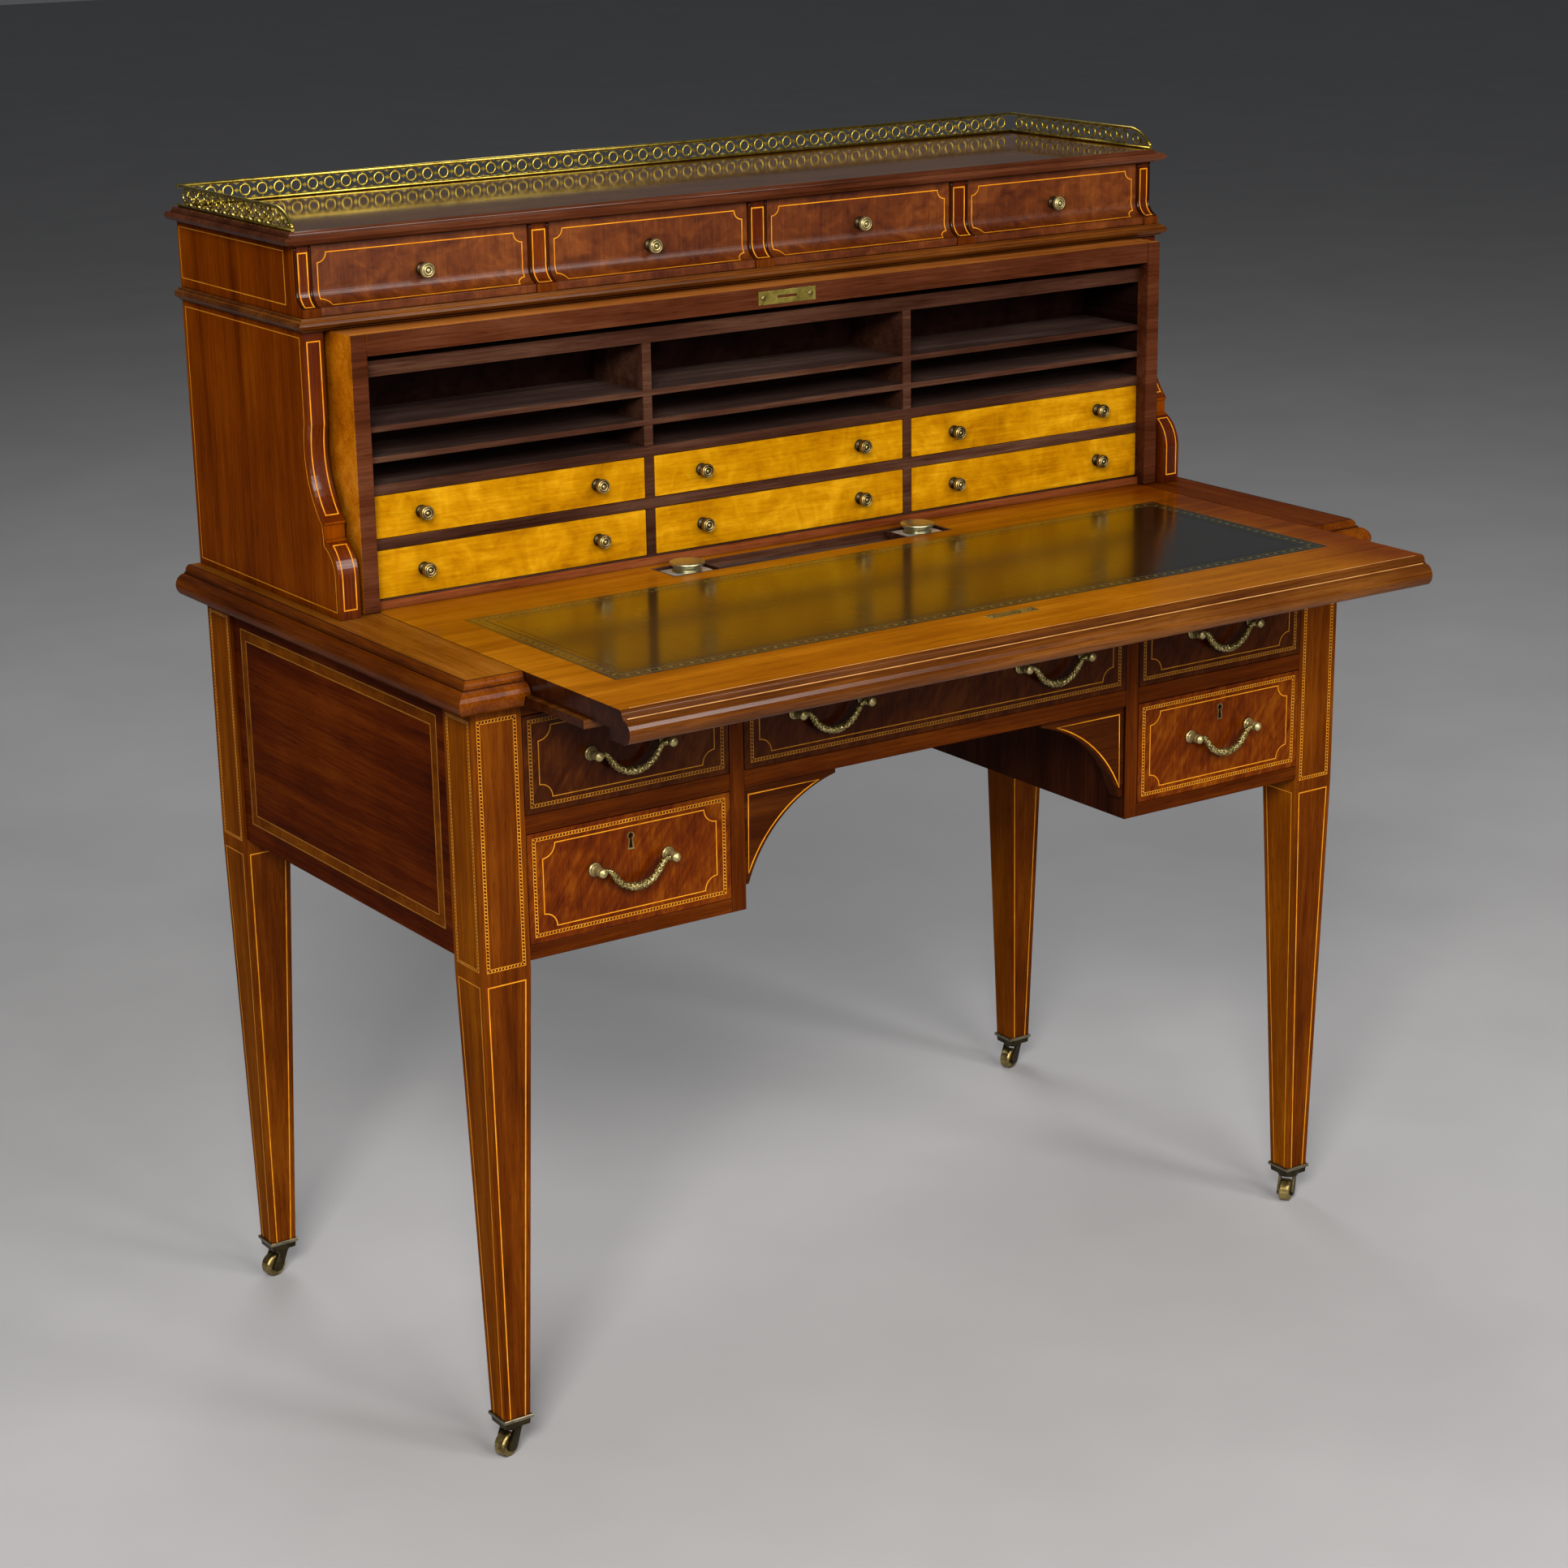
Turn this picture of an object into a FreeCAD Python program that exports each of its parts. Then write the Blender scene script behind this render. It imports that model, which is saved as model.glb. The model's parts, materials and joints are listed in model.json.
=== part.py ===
"""Kneehole writing desk with a sliding writing board, a pigeonhole nest and a brass gallery.

Millimetres, +Z up, X across the desk, +Y towards the wall. While the model is being made,
y = 0 is the front face of the legs; at the end everything moves so that the origin is at
the middle of the footprint, on the floor.
"""
import FreeCAD
import Part
import math
import os

V = FreeCAD.Vector

# Lower carcass
carcass_width = 1024.0
carcass_depth = 528.0
leg_width = 50.0
foot_width = 26.5
foot_setback = 8.0
knee_drop = 9.0
foot_height = 35.0
writing_height = 760.0
top_thickness = 30.0
top_overhang = 23.0
top_edge_run = 15.0
back_overhang = 20.0
fixed_top_width = 71.0
rear_rail_width = 26.0
board_front_lift = 0.4
overrun = 5.0

# Case boards of the lower part
panel_thickness = 18.0
panel_setback = 3.0
high_drawer_space = 92.0
low_drawer_space = 104.0
pedestal_width = 217.0
pedestal_side_thickness = 16.0
bottom_rail_height = 14.0
middle_rail_height = 17.0
top_rail_height = 13.0
rail_depth = 18.0
dust_board_thickness = 8.0
guide_height = 18.0
guide_gap = 1.0
bearer_width = 18.0
front_bearer_depth = 28.0
front_bearer_setback = 12.0
bracket_reach = 105.0
bracket_drop = 95.0
bracket_thickness = 16.0
bracket_toe = 5.0

# Drawers of the lower part
drawer_gap = 0.7
drawer_lift = 0.5
drawer_front_thickness = 18.0
drawer_side_thickness = 10.0
drawer_bottom_thickness = 5.0
drawer_bottom_lift = 4.0
drawer_side_drop = 6.0
drawer_back_gap = 27.0

# Carriage: writing board, case and nest, all sliding together
carriage_travel = 159.0
board_thickness = 19.0
board_front_depth = 32.0
joint_gap = 1.0
tongue_height = 8.0
tongue_width = 20.0
tongue_reach = 6.0
tongue_gap = 0.3
tongue_setback = 64.0
leather_side_margin = 48.0
leather_front_margin = 98.0
leather_back_margin = 24.0
leather_thickness = 1.0
tray_half_length = 168.5
tray_width = 43.0
tray_gap = 3.0
tray_height = 39.0
tray_wall = 2.5
pen_inset = 56.5
pen_depth = 11.0
pen_cove = 5.0
well_inset = 28.5
well_width = 52.0
bottle_width = 46.0
bottle_depth = 34.0
bottle_height = 34.5
bottle_neck_radius = 12.5
bottle_neck_height = 4.0
bottle_bore_radius = 10.0
bottle_wall = 5.0

# Case round the nest
case_depth = 110.0
case_side_thickness = 16.5
case_head_gap = 1.5
case_rail_height = 20.5
case_floor_gap = 0.8
case_back_thickness = 6.0

# Nest of pigeonholes and small drawers
nest_setback = 14.0
divider_thickness = 10.0
bay_count = 3
nest_bottom_height = 9.0
small_drawer_low_height = 46.6
small_rail_low_height = 10.4
small_drawer_high_height = 41.2
small_rail_high_height = 9.8
shelf_thickness = 5.5
low_hole_height = 20.5
middle_hole_height = 23.0
nest_head_gap = 7.0
nest_top_thickness = 14.5
small_front_thickness = 8.0
small_side_thickness = 5.0
small_bottom_thickness = 3.0
small_drawer_clearance = 4.0
small_side_drop = 3.0

# Upper cabinet
case_side_gap = 6.5
cabinet_side_thickness = 21.0
cabinet_depth = 255.5
cabinet_height = 261.0
scroll_reach = 45.5
scroll_rise = 72.0
scroll_drop = 37.0
impost_reach = 22.0
impost_height = 14.0
impost_lip = 2.0
sweep_height = 89.0
cabinet_back_thickness = 8.0
cabinet_back_setback = 10.0
middle_moulding_thickness = 12.0
middle_moulding_reach = 8.0
middle_moulding_front_reach = 11.5
frieze_height = 63.0
frieze_setback = 11.5
frieze_flare = 13.0
frieze_plinth = 8.0
frieze_curve_height = 19.0
frieze_step = 1.5
frieze_end_thickness = 18.0
strip_width = 22.0
strip_depth = 15.0
strip_proud = 1.5
partition_thickness = 10.0
frieze_drawer_count = 4
frieze_back_gap = 28.5
frieze_front_thickness = 18.0
cornice_thickness = 14.0
cornice_reach = 13.0
cornice_front_reach = 14.0

# Brass gallery
gallery_height = 21.5
gallery_thickness = 1.6
gallery_inset = 12.0
gallery_back_inset = 8.0
gallery_front_inset = 10.0
gallery_pitch = 16.4
gallery_hole_radius = 5.6
gallery_hole_sides = 4
gallery_ramp = 32.0
gallery_ramp_end = 5.0
gallery_rail_width = 4.0
gallery_rail_height = 2.5

# Castors
cup_height = 10.0
cup_top_lip = 2.25
cup_bottom_lip = 0.25
cup_floor = 4.0
cup_fit = 0.35
swivel_radius = 3.5
swivel_gap = 0.2
fork_plate_radius = 11.0
fork_plate_thickness = 3.0
fork_plate_gap = 0.3
fork_trail = 8.0
cheek_thickness = 2.5
cheek_width = 11.0
wheel_radius = 12.0
wheel_width = 12.0
wheel_gap = 0.4
wheel_round = 1.5
axle_radius = 2.1
axle_gap = 0.1
castor_angles = {"front_left": 200.0, "front_right": 215.0, "back_left": 190.0, "back_right": 200.0}

# Drawer fittings
turned_sides = 8
round_sides = 16
bend_steps = 2
arc_steps = 4
keyhole_steps = 6
post_spacing = 78.0
post_radius = 4.2
post_length = 18.0
post_pivot = 11.0
rose_radius = 6.5
bail_radius = 3.0
bail_drop = 21.0
bail_gap = 0.3
bail_shoulder = 6.0
bail_foot = 16.0
bail_shoulder_radius = 4.0
bail_foot_radius = 18.0
bail_bead_radius = 4.2
bail_bead_length = 9.0
bail_pin_radius = 1.35
bail_pin_gap = 0.2
bail_pin_length = 6.0
escutcheon_radius = 4.0
escutcheon_height = 17.0
escutcheon_foot_width = 7.0
escutcheon_wall = 1.6
escutcheon_sunk = 0.6
escutcheon_proud = 0.3
keyhole_depth = 8.0
low_post_rise = 6.0
low_key_rise = 26.0
high_key_rise = 9.0
centre_post_inset = 96.0
knob_radius = 7.0
knob_length = 13.0
knob_inset = 55.0
lock_plate_length = 68.0
lock_plate_height = 13.5
strike_plate_length = 56.0
strike_plate_width = 14.0
strike_plate_setback = 77.0
plate_thickness = 1.2

# Inkwell lids
lid_radius = 17.5
lid_height = 3.5
lid_gap = 0.3
collar_radius = 15.8
collar_height = 6.5
collar_gap = 0.3
lid_hinge_radius = 1.2
lid_hinge_length = 12.0
lid_step = 0.8

# Outline shares: how far out of the run, how far down the thickness
top_edge_shares = [(0, 0), ((0.17, 0.08), (0.23, 0.22)), (0.33, 0.22), (0.33, 0.27),
                   (0.40, 0.27), ((0.831, 0.397), (1, 0.633)), ((0.911, 0.813), (0.67, 0.95)),
                   (0.27, 1)]
cornice_edge_shares = [(0, 0), ((0.24, 0.07), (0.34, 0.26)), (0.46, 0.26), (0.46, 0.34),
                       ((1, 0.52), (0.46, 0.74)), (0.34, 0.74), (0.34, 0.82), ((0.24, 0.94), (0, 1))]
middle_edge_shares = [(0, 0), (0.40, 0), (0.40, 0.16), ((1, 0.52), (0.40, 0.88)), (0.40, 1)]
knob_shares = [(0.86, 0), (0.86, 0.10), (0.40, 0.20), (0.42, 0.50), (1, 0.68), (0.97, 0.88), (0.50, 1)]
post_shares = [(1, 0), (1, 0.09), (0.50, 0.30), (0.646, 0.38), (0.646, 0.82), (0.26, 1)]

# Bulge shares: where the middle of an arc lies between its two ends
bracket_arc_shares = (0.365, 0.437)
sweep_arc_shares = (0.75, 0.29)
foot_arc_shares = (0.234, 0.595)
frieze_arc_shares = (0.26, 0.30)
ramp_arc_shares = (0.42, 0.36)

# Places worked out from the sizes above
half_width = carcass_width / 2
leg_inner = half_width - leg_width
top_bottom = writing_height - top_thickness
back_edge = carcass_depth + back_overhang
fixed_outer = half_width + top_overhang
fixed_inner = fixed_outer - fixed_top_width
rear_rail_front = back_edge - rear_rail_width
board_half_width = fixed_inner - joint_gap
board_front = -top_overhang - carriage_travel
board_back = rear_rail_front - joint_gap - carriage_travel
board_bottom = writing_height - board_thickness
groove_bottom = board_bottom - tongue_height - tongue_gap
groove_outer = board_half_width + tongue_reach + joint_gap
pedestal_inner = leg_inner - pedestal_width
stile_inner = pedestal_inner - pedestal_side_thickness
top_rail_bottom = top_bottom - top_rail_height
middle_rail_top = top_rail_bottom - high_drawer_space
middle_rail_bottom = middle_rail_top - middle_rail_height
bottom_rail_top = middle_rail_bottom - low_drawer_space
pedestal_bottom = bottom_rail_top - bottom_rail_height
knee_height = pedestal_bottom - knee_drop
panel_back = carcass_depth - leg_width
carcass_back = carcass_depth - panel_setback - panel_thickness
drawer_length = carcass_back - drawer_back_gap
case_inner = board_half_width
case_half_width = case_inner + case_side_thickness
case_front = board_back - case_depth
cabinet_top = writing_height + cabinet_height
case_top = cabinet_top - case_head_gap
bay_width = (2 * case_inner - (bay_count - 1) * divider_thickness) / bay_count
bay_pitch = bay_width + divider_thickness
low_drawer_bottom = writing_height + nest_bottom_height
low_drawer_top = low_drawer_bottom + small_drawer_low_height
high_drawer_bottom = low_drawer_top + small_rail_low_height
high_drawer_top = high_drawer_bottom + small_drawer_high_height
hole_floor = high_drawer_top + small_rail_high_height
low_shelf_bottom = hole_floor + low_hole_height
high_shelf_bottom = low_shelf_bottom + shelf_thickness + middle_hole_height
nest_top = case_top - case_rail_height - nest_head_gap
nest_top_bottom = nest_top - nest_top_thickness
nest_front = case_front + nest_setback
nest_back = board_back - case_back_thickness
cabinet_inner = case_half_width + case_side_gap
cabinet_half_width = cabinet_inner + cabinet_side_thickness
cabinet_front = back_edge - cabinet_depth
scroll_front = cabinet_front - scroll_reach
scroll_top = writing_height + scroll_rise
foot_curve_bottom = scroll_top - scroll_drop
impost_front = cabinet_front - impost_reach
impost_top = scroll_top + impost_height
sweep_top = impost_top + sweep_height
cabinet_back_face = back_edge - cabinet_back_setback
cabinet_back_front = cabinet_back_face - cabinet_back_thickness
frieze_face = cabinet_front + frieze_setback
frieze_back_front = back_edge - cabinet_back_thickness
frieze_bottom = cabinet_top + middle_moulding_thickness
frieze_top = frieze_bottom + frieze_height
frieze_inner = cabinet_half_width - frieze_end_thickness
frieze_pitch = (2 * frieze_inner + strip_width) / frieze_drawer_count
frieze_drawer_width = frieze_pitch - strip_width
cornice_top = frieze_top + cornice_thickness
cornice_half_width = cabinet_half_width + cornice_reach
cornice_front = frieze_face - cornice_front_reach
gallery_half_width = cornice_half_width - gallery_inset
gallery_back = back_edge - gallery_back_inset
gallery_front = cornice_front + gallery_front_inset
foot_centre_x = half_width - foot_setback - foot_width / 2
foot_centre_y = foot_setback + foot_width / 2
cup_bottom = foot_height - cup_floor
fork_top = cup_bottom - fork_plate_gap
leather_half_width = board_half_width - leather_side_margin
leather_front = board_front + leather_front_margin
strike_plate_centre = board_front + strike_plate_setback
tray_back = case_front - tray_gap
tray_front = tray_back - tray_width
leather_back = tray_front - leather_back_margin
tray_bottom = writing_height - tray_height
pen_half_length = tray_half_length - pen_inset
well_spacing = tray_half_length - well_inset
well_floor = tray_bottom + tray_wall
well_centre_y = (tray_front + tray_back) / 2
well_depth = tray_back - tray_front - 2 * tray_wall
bottle_top = well_floor + bottle_height
collar_top = bottle_top + collar_height
lid_bottom = collar_top + lid_gap
lid_top = lid_bottom + lid_height
lid_hinge_y = well_centre_y + lid_radius
lid_hinge_z = lid_bottom + lid_hinge_radius
wheel_bore_radius = axle_radius + axle_gap
origin_y = (board_front + back_edge) / 2
corners = {"front_left": (-1, 0), "front_right": (1, 0), "back_left": (-1, 1), "back_right": (1, 1)}


def box(x0, x1, y0, y1, z0, z1):
    """A block between two corners."""
    low = V(min(x0, x1), min(y0, y1), min(z0, z1))
    return Part.makeBox(abs(x1 - x0), abs(y1 - y0), abs(z1 - z0), low)


def pair(shape):
    """A piece and its mirror image across the middle of the desk."""
    return [shape, shape.mirror(V(0, 0, 0), V(1, 0, 0))]


def wire(points, place):
    """A closed wire through points; an entry of two points is an arc by its middle and end."""
    edges = []
    start = place(*points[0])
    for entry in points[1:] + [points[0]]:
        if isinstance(entry[0], tuple):
            middle, end = place(*entry[0]), place(*entry[1])
            edges.append(Part.Arc(start, middle, end).toShape())
        else:
            end = place(*entry)
            if start.distanceToPoint(end) > 0:
                edges.append(Part.LineSegment(start, end).toShape())
        start = end
    return Part.Wire(edges)


def faceted(points, steps):
    """The same outline with its arcs replaced by a few chords."""
    plain = [points[0]]
    for entry in points[1:]:
        if isinstance(entry[0], tuple):
            (x0, y0), (x1, y1), (x2, y2) = plain[-1], *entry
            arc = Part.Arc(V(x0, y0, 0), V(x1, y1, 0), V(x2, y2, 0)).toShape()
            plain += [(point.x, point.y) for point in arc.discretize(steps + 1)[1:]]
        else:
            plain.append(entry)
    return plain


def prism_x(points, x0, x1):
    """An outline in (y, z) drawn out along X."""
    return Part.Face(wire(points, lambda y, z: V(x0, y, z))).extrude(V(x1 - x0, 0, 0))


def prism_y(points, y0, y1):
    """An outline in (x, z) drawn out along Y."""
    return Part.Face(wire(points, lambda x, z: V(x, y0, z))).extrude(V(0, y1 - y0, 0))


def ringed(rings):
    """A solid with flat faces between successive rings of points."""
    outlines = [rings[0], rings[-1]]
    for low, high in zip(rings, rings[1:]):
        outlines += [[low[i - 1], low[i], high[i], high[i - 1]] for i in range(len(low))]
    faces = [Part.Face(Part.makePolygon(points + points[:1])) for points in outlines]
    solid = Part.Solid(Part.Shell(faces))
    if solid.Volume < 0:
        solid.reverse()
    return solid


def tapered(low, high):
    """A four-sided post between two rectangles (x0, x1, y0, y1, z)."""
    def ring(x0, x1, y0, y1, z):
        return [V(x0, y0, z), V(x1, y0, z), V(x1, y1, z), V(x0, y1, z)]
    return ringed([ring(*low), ring(*high)])


def ring_about(centre, across, up, radius, sides):
    """Points of a regular polygon about a centre, in the plane of two directions."""
    angles = [2 * math.pi * step / sides for step in range(sides)]
    return [centre + across * (radius * math.cos(a)) + up * (radius * math.sin(a)) for a in angles]


def turned(shares, radius, length, base):
    """A turned piece that points forward: a profile of (radius, height) shares about its axis."""
    across, up = V(1, 0, 0), V(0, 0, 1)
    return ringed([ring_about(base - V(0, height * length, 0), across, up, share * radius, turned_sides)
                   for share, height in shares])


def round_post(profile, base):
    """An upright round piece: a profile of (radius, height) about its axis."""
    across, up = V(0, 1, 0), V(1, 0, 0)
    return ringed([ring_about(base + V(0, 0, height), across, up, radius, round_sides)
                   for radius, height in profile])


def rounded_path(points, radii):
    """Points of straight runs in (x, z), joined at the inner points by tangent arcs of a few steps."""
    path = [points[0]]
    for before, corner, after, radius in zip(points, points[1:], points[2:], radii):
        back = (before - corner).normalize()
        on = (after - corner).normalize()
        half_turn = back.getAngle(on) / 2
        centre = corner + (back + on).normalize() * (radius / math.sin(half_turn))
        start = corner + back * (radius / math.tan(half_turn)) - centre
        turn = math.pi - 2 * half_turn
        sign = 1 if start.cross(on).y > 0 else -1
        for step in range(bend_steps + 1):
            spin = FreeCAD.Rotation(V(0, 1, 0), math.degrees(sign * turn * step / bend_steps))
            path.append(centre + spin.multVec(start))
    return path + [points[-1]]


def edge_outline(shares, nose, run, top, depth, inner):
    """A moulded board seen on end: (position, height) points from the nose side inwards.

    The nose lies on the negative side; inner is where the plain board ends."""
    def put(share):
        return (nose + run * (1 - share[0]), top - depth * share[1])
    points = []
    for entry in shares:
        if isinstance(entry[0], tuple):
            points.append((put(entry[0]), put(entry[1])))
        else:
            points.append(put(entry))
    return faceted([(inner, top)] + points + [(inner, top - depth)], arc_steps)


def moulded_board(shares, half, front, back, run, top, depth):
    """A board whose front and side edges carry one moulding, mitred at the corners."""
    front_run = prism_x(edge_outline(shares, front, run, top, depth, back), -half, half)
    left = prism_y(edge_outline(shares, -half, run, top, depth, 0), front, back)
    sides = left.fuse(left.mirror(V(0, 0, 0), V(1, 0, 0))).removeSplitter()
    return front_run.common(sides)


def leg(side, rear):
    """A square leg that tapers below the knee, more on its inner faces."""
    outer = half_width
    x0, x1 = sorted((side * outer, side * leg_inner))
    y0, y1 = (carcass_depth - leg_width, carcass_depth) if rear else (0, leg_width)
    foot_outer = outer - foot_setback
    fx0, fx1 = sorted((side * foot_outer, side * (foot_outer - foot_width)))
    fy0 = carcass_depth - foot_setback - foot_width if rear else foot_setback
    fy1 = fy0 + foot_width
    lower = tapered((fx0, fx1, fy0, fy1, foot_height), (x0, x1, y0, y1, knee_height))
    upper = box(x0, x1, y0, y1, knee_height, top_bottom)
    return lower.fuse(upper).removeSplitter()


def legs():
    return [leg(side, rear) for side, rear in corners.values()]


def side_panels():
    outer = half_width - panel_setback
    return pair(box(-outer, -outer + panel_thickness, leg_width, panel_back,
                    pedestal_bottom, top_bottom))


def back_panels():
    """Boards between the back legs: two behind the pedestals, one behind the centre drawer."""
    face = carcass_depth - panel_setback
    back = carcass_back
    outer = pair(box(-leg_inner, -pedestal_inner, back, face, pedestal_bottom, top_bottom))
    return outer + [box(-pedestal_inner, pedestal_inner, back, face, middle_rail_bottom, top_bottom)]


def pedestal_sides():
    return pair(box(-pedestal_inner, -stile_inner, 0, carcass_back, pedestal_bottom, top_rail_bottom))


def front_rails():
    """Rails across the front, above, between and below the drawers."""
    top = [box(-leg_inner, leg_inner, 0, rail_depth, top_rail_bottom, top_bottom)]
    middle = pair(box(-leg_inner, -pedestal_inner, 0, rail_depth, middle_rail_bottom, middle_rail_top))
    bottom = pair(box(-leg_inner, -pedestal_inner, 0, rail_depth, pedestal_bottom, bottom_rail_top))
    centre = [box(-stile_inner, stile_inner, 0, rail_depth, middle_rail_bottom, middle_rail_top)]
    return top + middle + bottom + centre


def dust_boards():
    """Boards that the lower drawers run on, with guides beside the outer drawers."""
    back = carcass_back
    panel_inner = half_width - panel_setback - panel_thickness
    boards = []
    for top in (bottom_rail_top, middle_rail_top):
        bottom = top - dust_board_thickness
        boards += pair(box(-leg_inner, -pedestal_inner, rail_depth, back, bottom, top))
        guide_edge = leg_inner + guide_gap
        boards += pair(box(-panel_inner, -guide_edge, leg_width, panel_back, bottom, top + guide_height))
    bottom = middle_rail_top - dust_board_thickness
    return boards + [box(-stile_inner, stile_inner, rail_depth, back, bottom, middle_rail_top)]


def kneehole_brackets():
    """Curved corner brackets below the centre drawer."""
    edge = stile_inner
    top = middle_rail_bottom
    middle = (-edge + bracket_reach * bracket_arc_shares[0], top - bracket_drop * bracket_arc_shares[1])
    points = [(-edge, top), (-edge, top - bracket_drop), (-edge + bracket_toe, top - bracket_drop),
              (middle, (-edge + bracket_reach, top - bracket_toe)), (-edge + bracket_reach, top)]
    front = panel_setback
    return pair(prism_y(points, front, front + bracket_thickness))


def fixed_top():
    """The fixed U of the top: a moulded piece each side of the board, and a rail behind it."""
    side_run = edge_outline(top_edge_shares, -fixed_outer, top_edge_run, writing_height,
                            top_thickness, -fixed_inner)
    front_run = edge_outline(top_edge_shares, -top_overhang, top_edge_run, writing_height,
                             top_thickness, back_edge)
    front_part = prism_x(front_run, -fixed_outer, -fixed_inner)
    piece = prism_y(side_run, -top_overhang, back_edge).common(front_part)
    groove = box(-groove_outer, -fixed_inner + overrun, -top_overhang - overrun,
                 rear_rail_front, groove_bottom, board_bottom + tongue_gap)
    rear = box(-fixed_inner, fixed_inner, rear_rail_front, back_edge, top_bottom, writing_height)
    return pair(piece.cut(groove)) + [rear]


def slide_bearers():
    """Bearers below the tongues of the writing board, and one across the front."""
    inner = leg_inner - bearer_width
    side = box(-leg_inner, -inner, rail_depth, carcass_back, top_rail_bottom, groove_bottom)
    front = box(-inner + joint_gap, inner - joint_gap, front_bearer_setback,
                front_bearer_setback + front_bearer_depth, top_bottom, board_bottom - tongue_gap)
    foot = box(-inner, inner, rail_depth, front_bearer_setback + front_bearer_depth,
               top_rail_bottom, top_bottom)
    return pair(side) + [front, foot]


def writing_board():
    """The sliding board with its moulded front edge, cut for the leather and the pen tray."""
    outline = edge_outline(top_edge_shares, board_front, top_edge_run, writing_height,
                           top_thickness - board_front_lift, board_front + board_front_depth)
    lip = outline.pop()
    points = [(board_back, writing_height)] + outline[1:]
    points += [lip, (lip[0], board_bottom), (board_back, board_bottom)]
    board = prism_x(points, -board_half_width, board_half_width)
    board = board.cut(box(-leather_half_width, leather_half_width, leather_front, leather_back,
                          writing_height - leather_thickness, writing_height + overrun))
    board = board.cut(box(-tray_half_length, tray_half_length, tray_front, tray_back,
                          board_bottom - overrun, writing_height + overrun))
    half_strike = strike_plate_width / 2
    board = board.cut(box(-strike_plate_length / 2, strike_plate_length / 2,
                          strike_plate_centre - half_strike, strike_plate_centre + half_strike,
                          writing_height - plate_thickness, writing_height + overrun))
    outer = board_half_width + tongue_reach
    tongue = box(-outer, -outer + tongue_width, board_front + tongue_setback, board_back,
                 board_bottom - tongue_height, board_bottom)
    return [board] + pair(tongue)


def leather():
    return [box(-leather_half_width, leather_half_width, leather_front, leather_back,
                writing_height - leather_thickness, writing_height)]


def pen_tray():
    """The block let into the board, with a coved pen trough between two square wells."""
    block = box(-tray_half_length, tray_half_length, tray_front, tray_back, tray_bottom, writing_height)
    front = tray_front + tray_wall
    back = tray_back - tray_wall
    floor = writing_height - pen_depth
    above = writing_height + overrun
    middle = (well_centre_y, floor)
    trough = [(front, above), (front, floor + pen_cove), (middle, (back, floor + pen_cove)),
              (back, above)]
    block = block.cut(prism_x(trough, -pen_half_length, pen_half_length))
    for side in (-1, 1):
        centre = side * well_spacing
        block = block.cut(box(centre - well_width / 2, centre + well_width / 2, front, back,
                              well_floor, above))
    return [block]


def ink_bottles():
    """Square glass bottles with a round neck, hollow, standing in the wells."""
    bottles = []
    for side in (-1, 1):
        x = side * well_spacing
        y = well_centre_y
        reach, depth = bottle_width / 2, bottle_depth / 2
        body = box(x - reach, x + reach, y - depth, y + depth,
                   well_floor, bottle_top)
        neck = round_post([(bottle_neck_radius, 0), (bottle_neck_radius, bottle_neck_height)],
                          V(x, y, bottle_top))
        bore = bottle_height + bottle_neck_height
        hollow = round_post([(bottle_bore_radius, 0), (bottle_bore_radius, bore)],
                            V(x, y, well_floor + bottle_wall))
        bottles.append(body.fuse(neck).removeSplitter().cut(hollow))
    return bottles


def inkwell_collars():
    """Brass collars round the necks of the bottles."""
    collars = []
    for side in (-1, 1):
        base = V(side * well_spacing, well_centre_y, bottle_top)
        collar = round_post([(collar_radius, 0), (collar_radius, collar_height)], base)
        inner = bottle_neck_radius + collar_gap
        collars.append(collar.cut(round_post([(inner, 0), (inner, collar_height)], base)))
    return collars


def inkwell_lid(side):
    """A brass lid with a bevelled edge, and the barrel of its hinge at the back."""
    x = side * well_spacing
    profile = [(lid_radius, 0), (lid_radius, lid_height - lid_step), (lid_radius - lid_step, lid_height)]
    disc = round_post(profile, V(x, well_centre_y, lid_bottom))
    barrel = Part.makeCylinder(lid_hinge_radius, lid_hinge_length,
                               V(x - lid_hinge_length / 2, lid_hinge_y, lid_hinge_z), V(1, 0, 0))
    return [disc.fuse(barrel)]


def nest_case():
    """The case that carries the nest: two sides, a top whose edge is the front rail, and a back."""
    rail_bottom = case_top - case_rail_height
    side = box(-case_half_width, -case_inner, case_front, board_back,
               writing_height + case_floor_gap, case_top)
    top = box(-case_inner, case_inner, case_front, board_back, rail_bottom, case_top)
    half_plate = lock_plate_height / 2
    middle = (case_top + rail_bottom) / 2
    top = top.cut(box(-lock_plate_length / 2, lock_plate_length / 2, case_front - overrun,
                      case_front + plate_thickness, middle - half_plate, middle + half_plate))
    back = box(-case_inner, case_inner, nest_back, board_back, writing_height, rail_bottom)
    return pair(side) + [top, back]


def nest_shelves():
    """Bottom, top and uprights of the nest, and the drawer rails and thin shelves of each bay."""
    edge_round = nest_bottom_height / 2
    front = nest_front
    middle = (front - edge_round, writing_height + edge_round)
    outline = [(nest_back, writing_height), (front, writing_height),
               (middle, (front, low_drawer_bottom)), (nest_back, low_drawer_bottom)]
    bottom = prism_x(outline, -case_inner, case_inner)
    pieces = [bottom, box(-case_inner, case_inner, front, nest_back, nest_top_bottom, nest_top)]
    levels = [(low_drawer_top, high_drawer_bottom), (high_drawer_top, hole_floor),
              (low_shelf_bottom, low_shelf_bottom + shelf_thickness),
              (high_shelf_bottom, high_shelf_bottom + shelf_thickness)]
    for index in range(bay_count):
        x = -case_inner + index * bay_pitch
        pieces += [box(x, x + bay_width, front, nest_back, low, high) for low, high in levels]
        if index:
            pieces.append(box(x - divider_thickness, x, front, nest_back,
                              low_drawer_bottom, nest_top_bottom))
    return pieces


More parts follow.
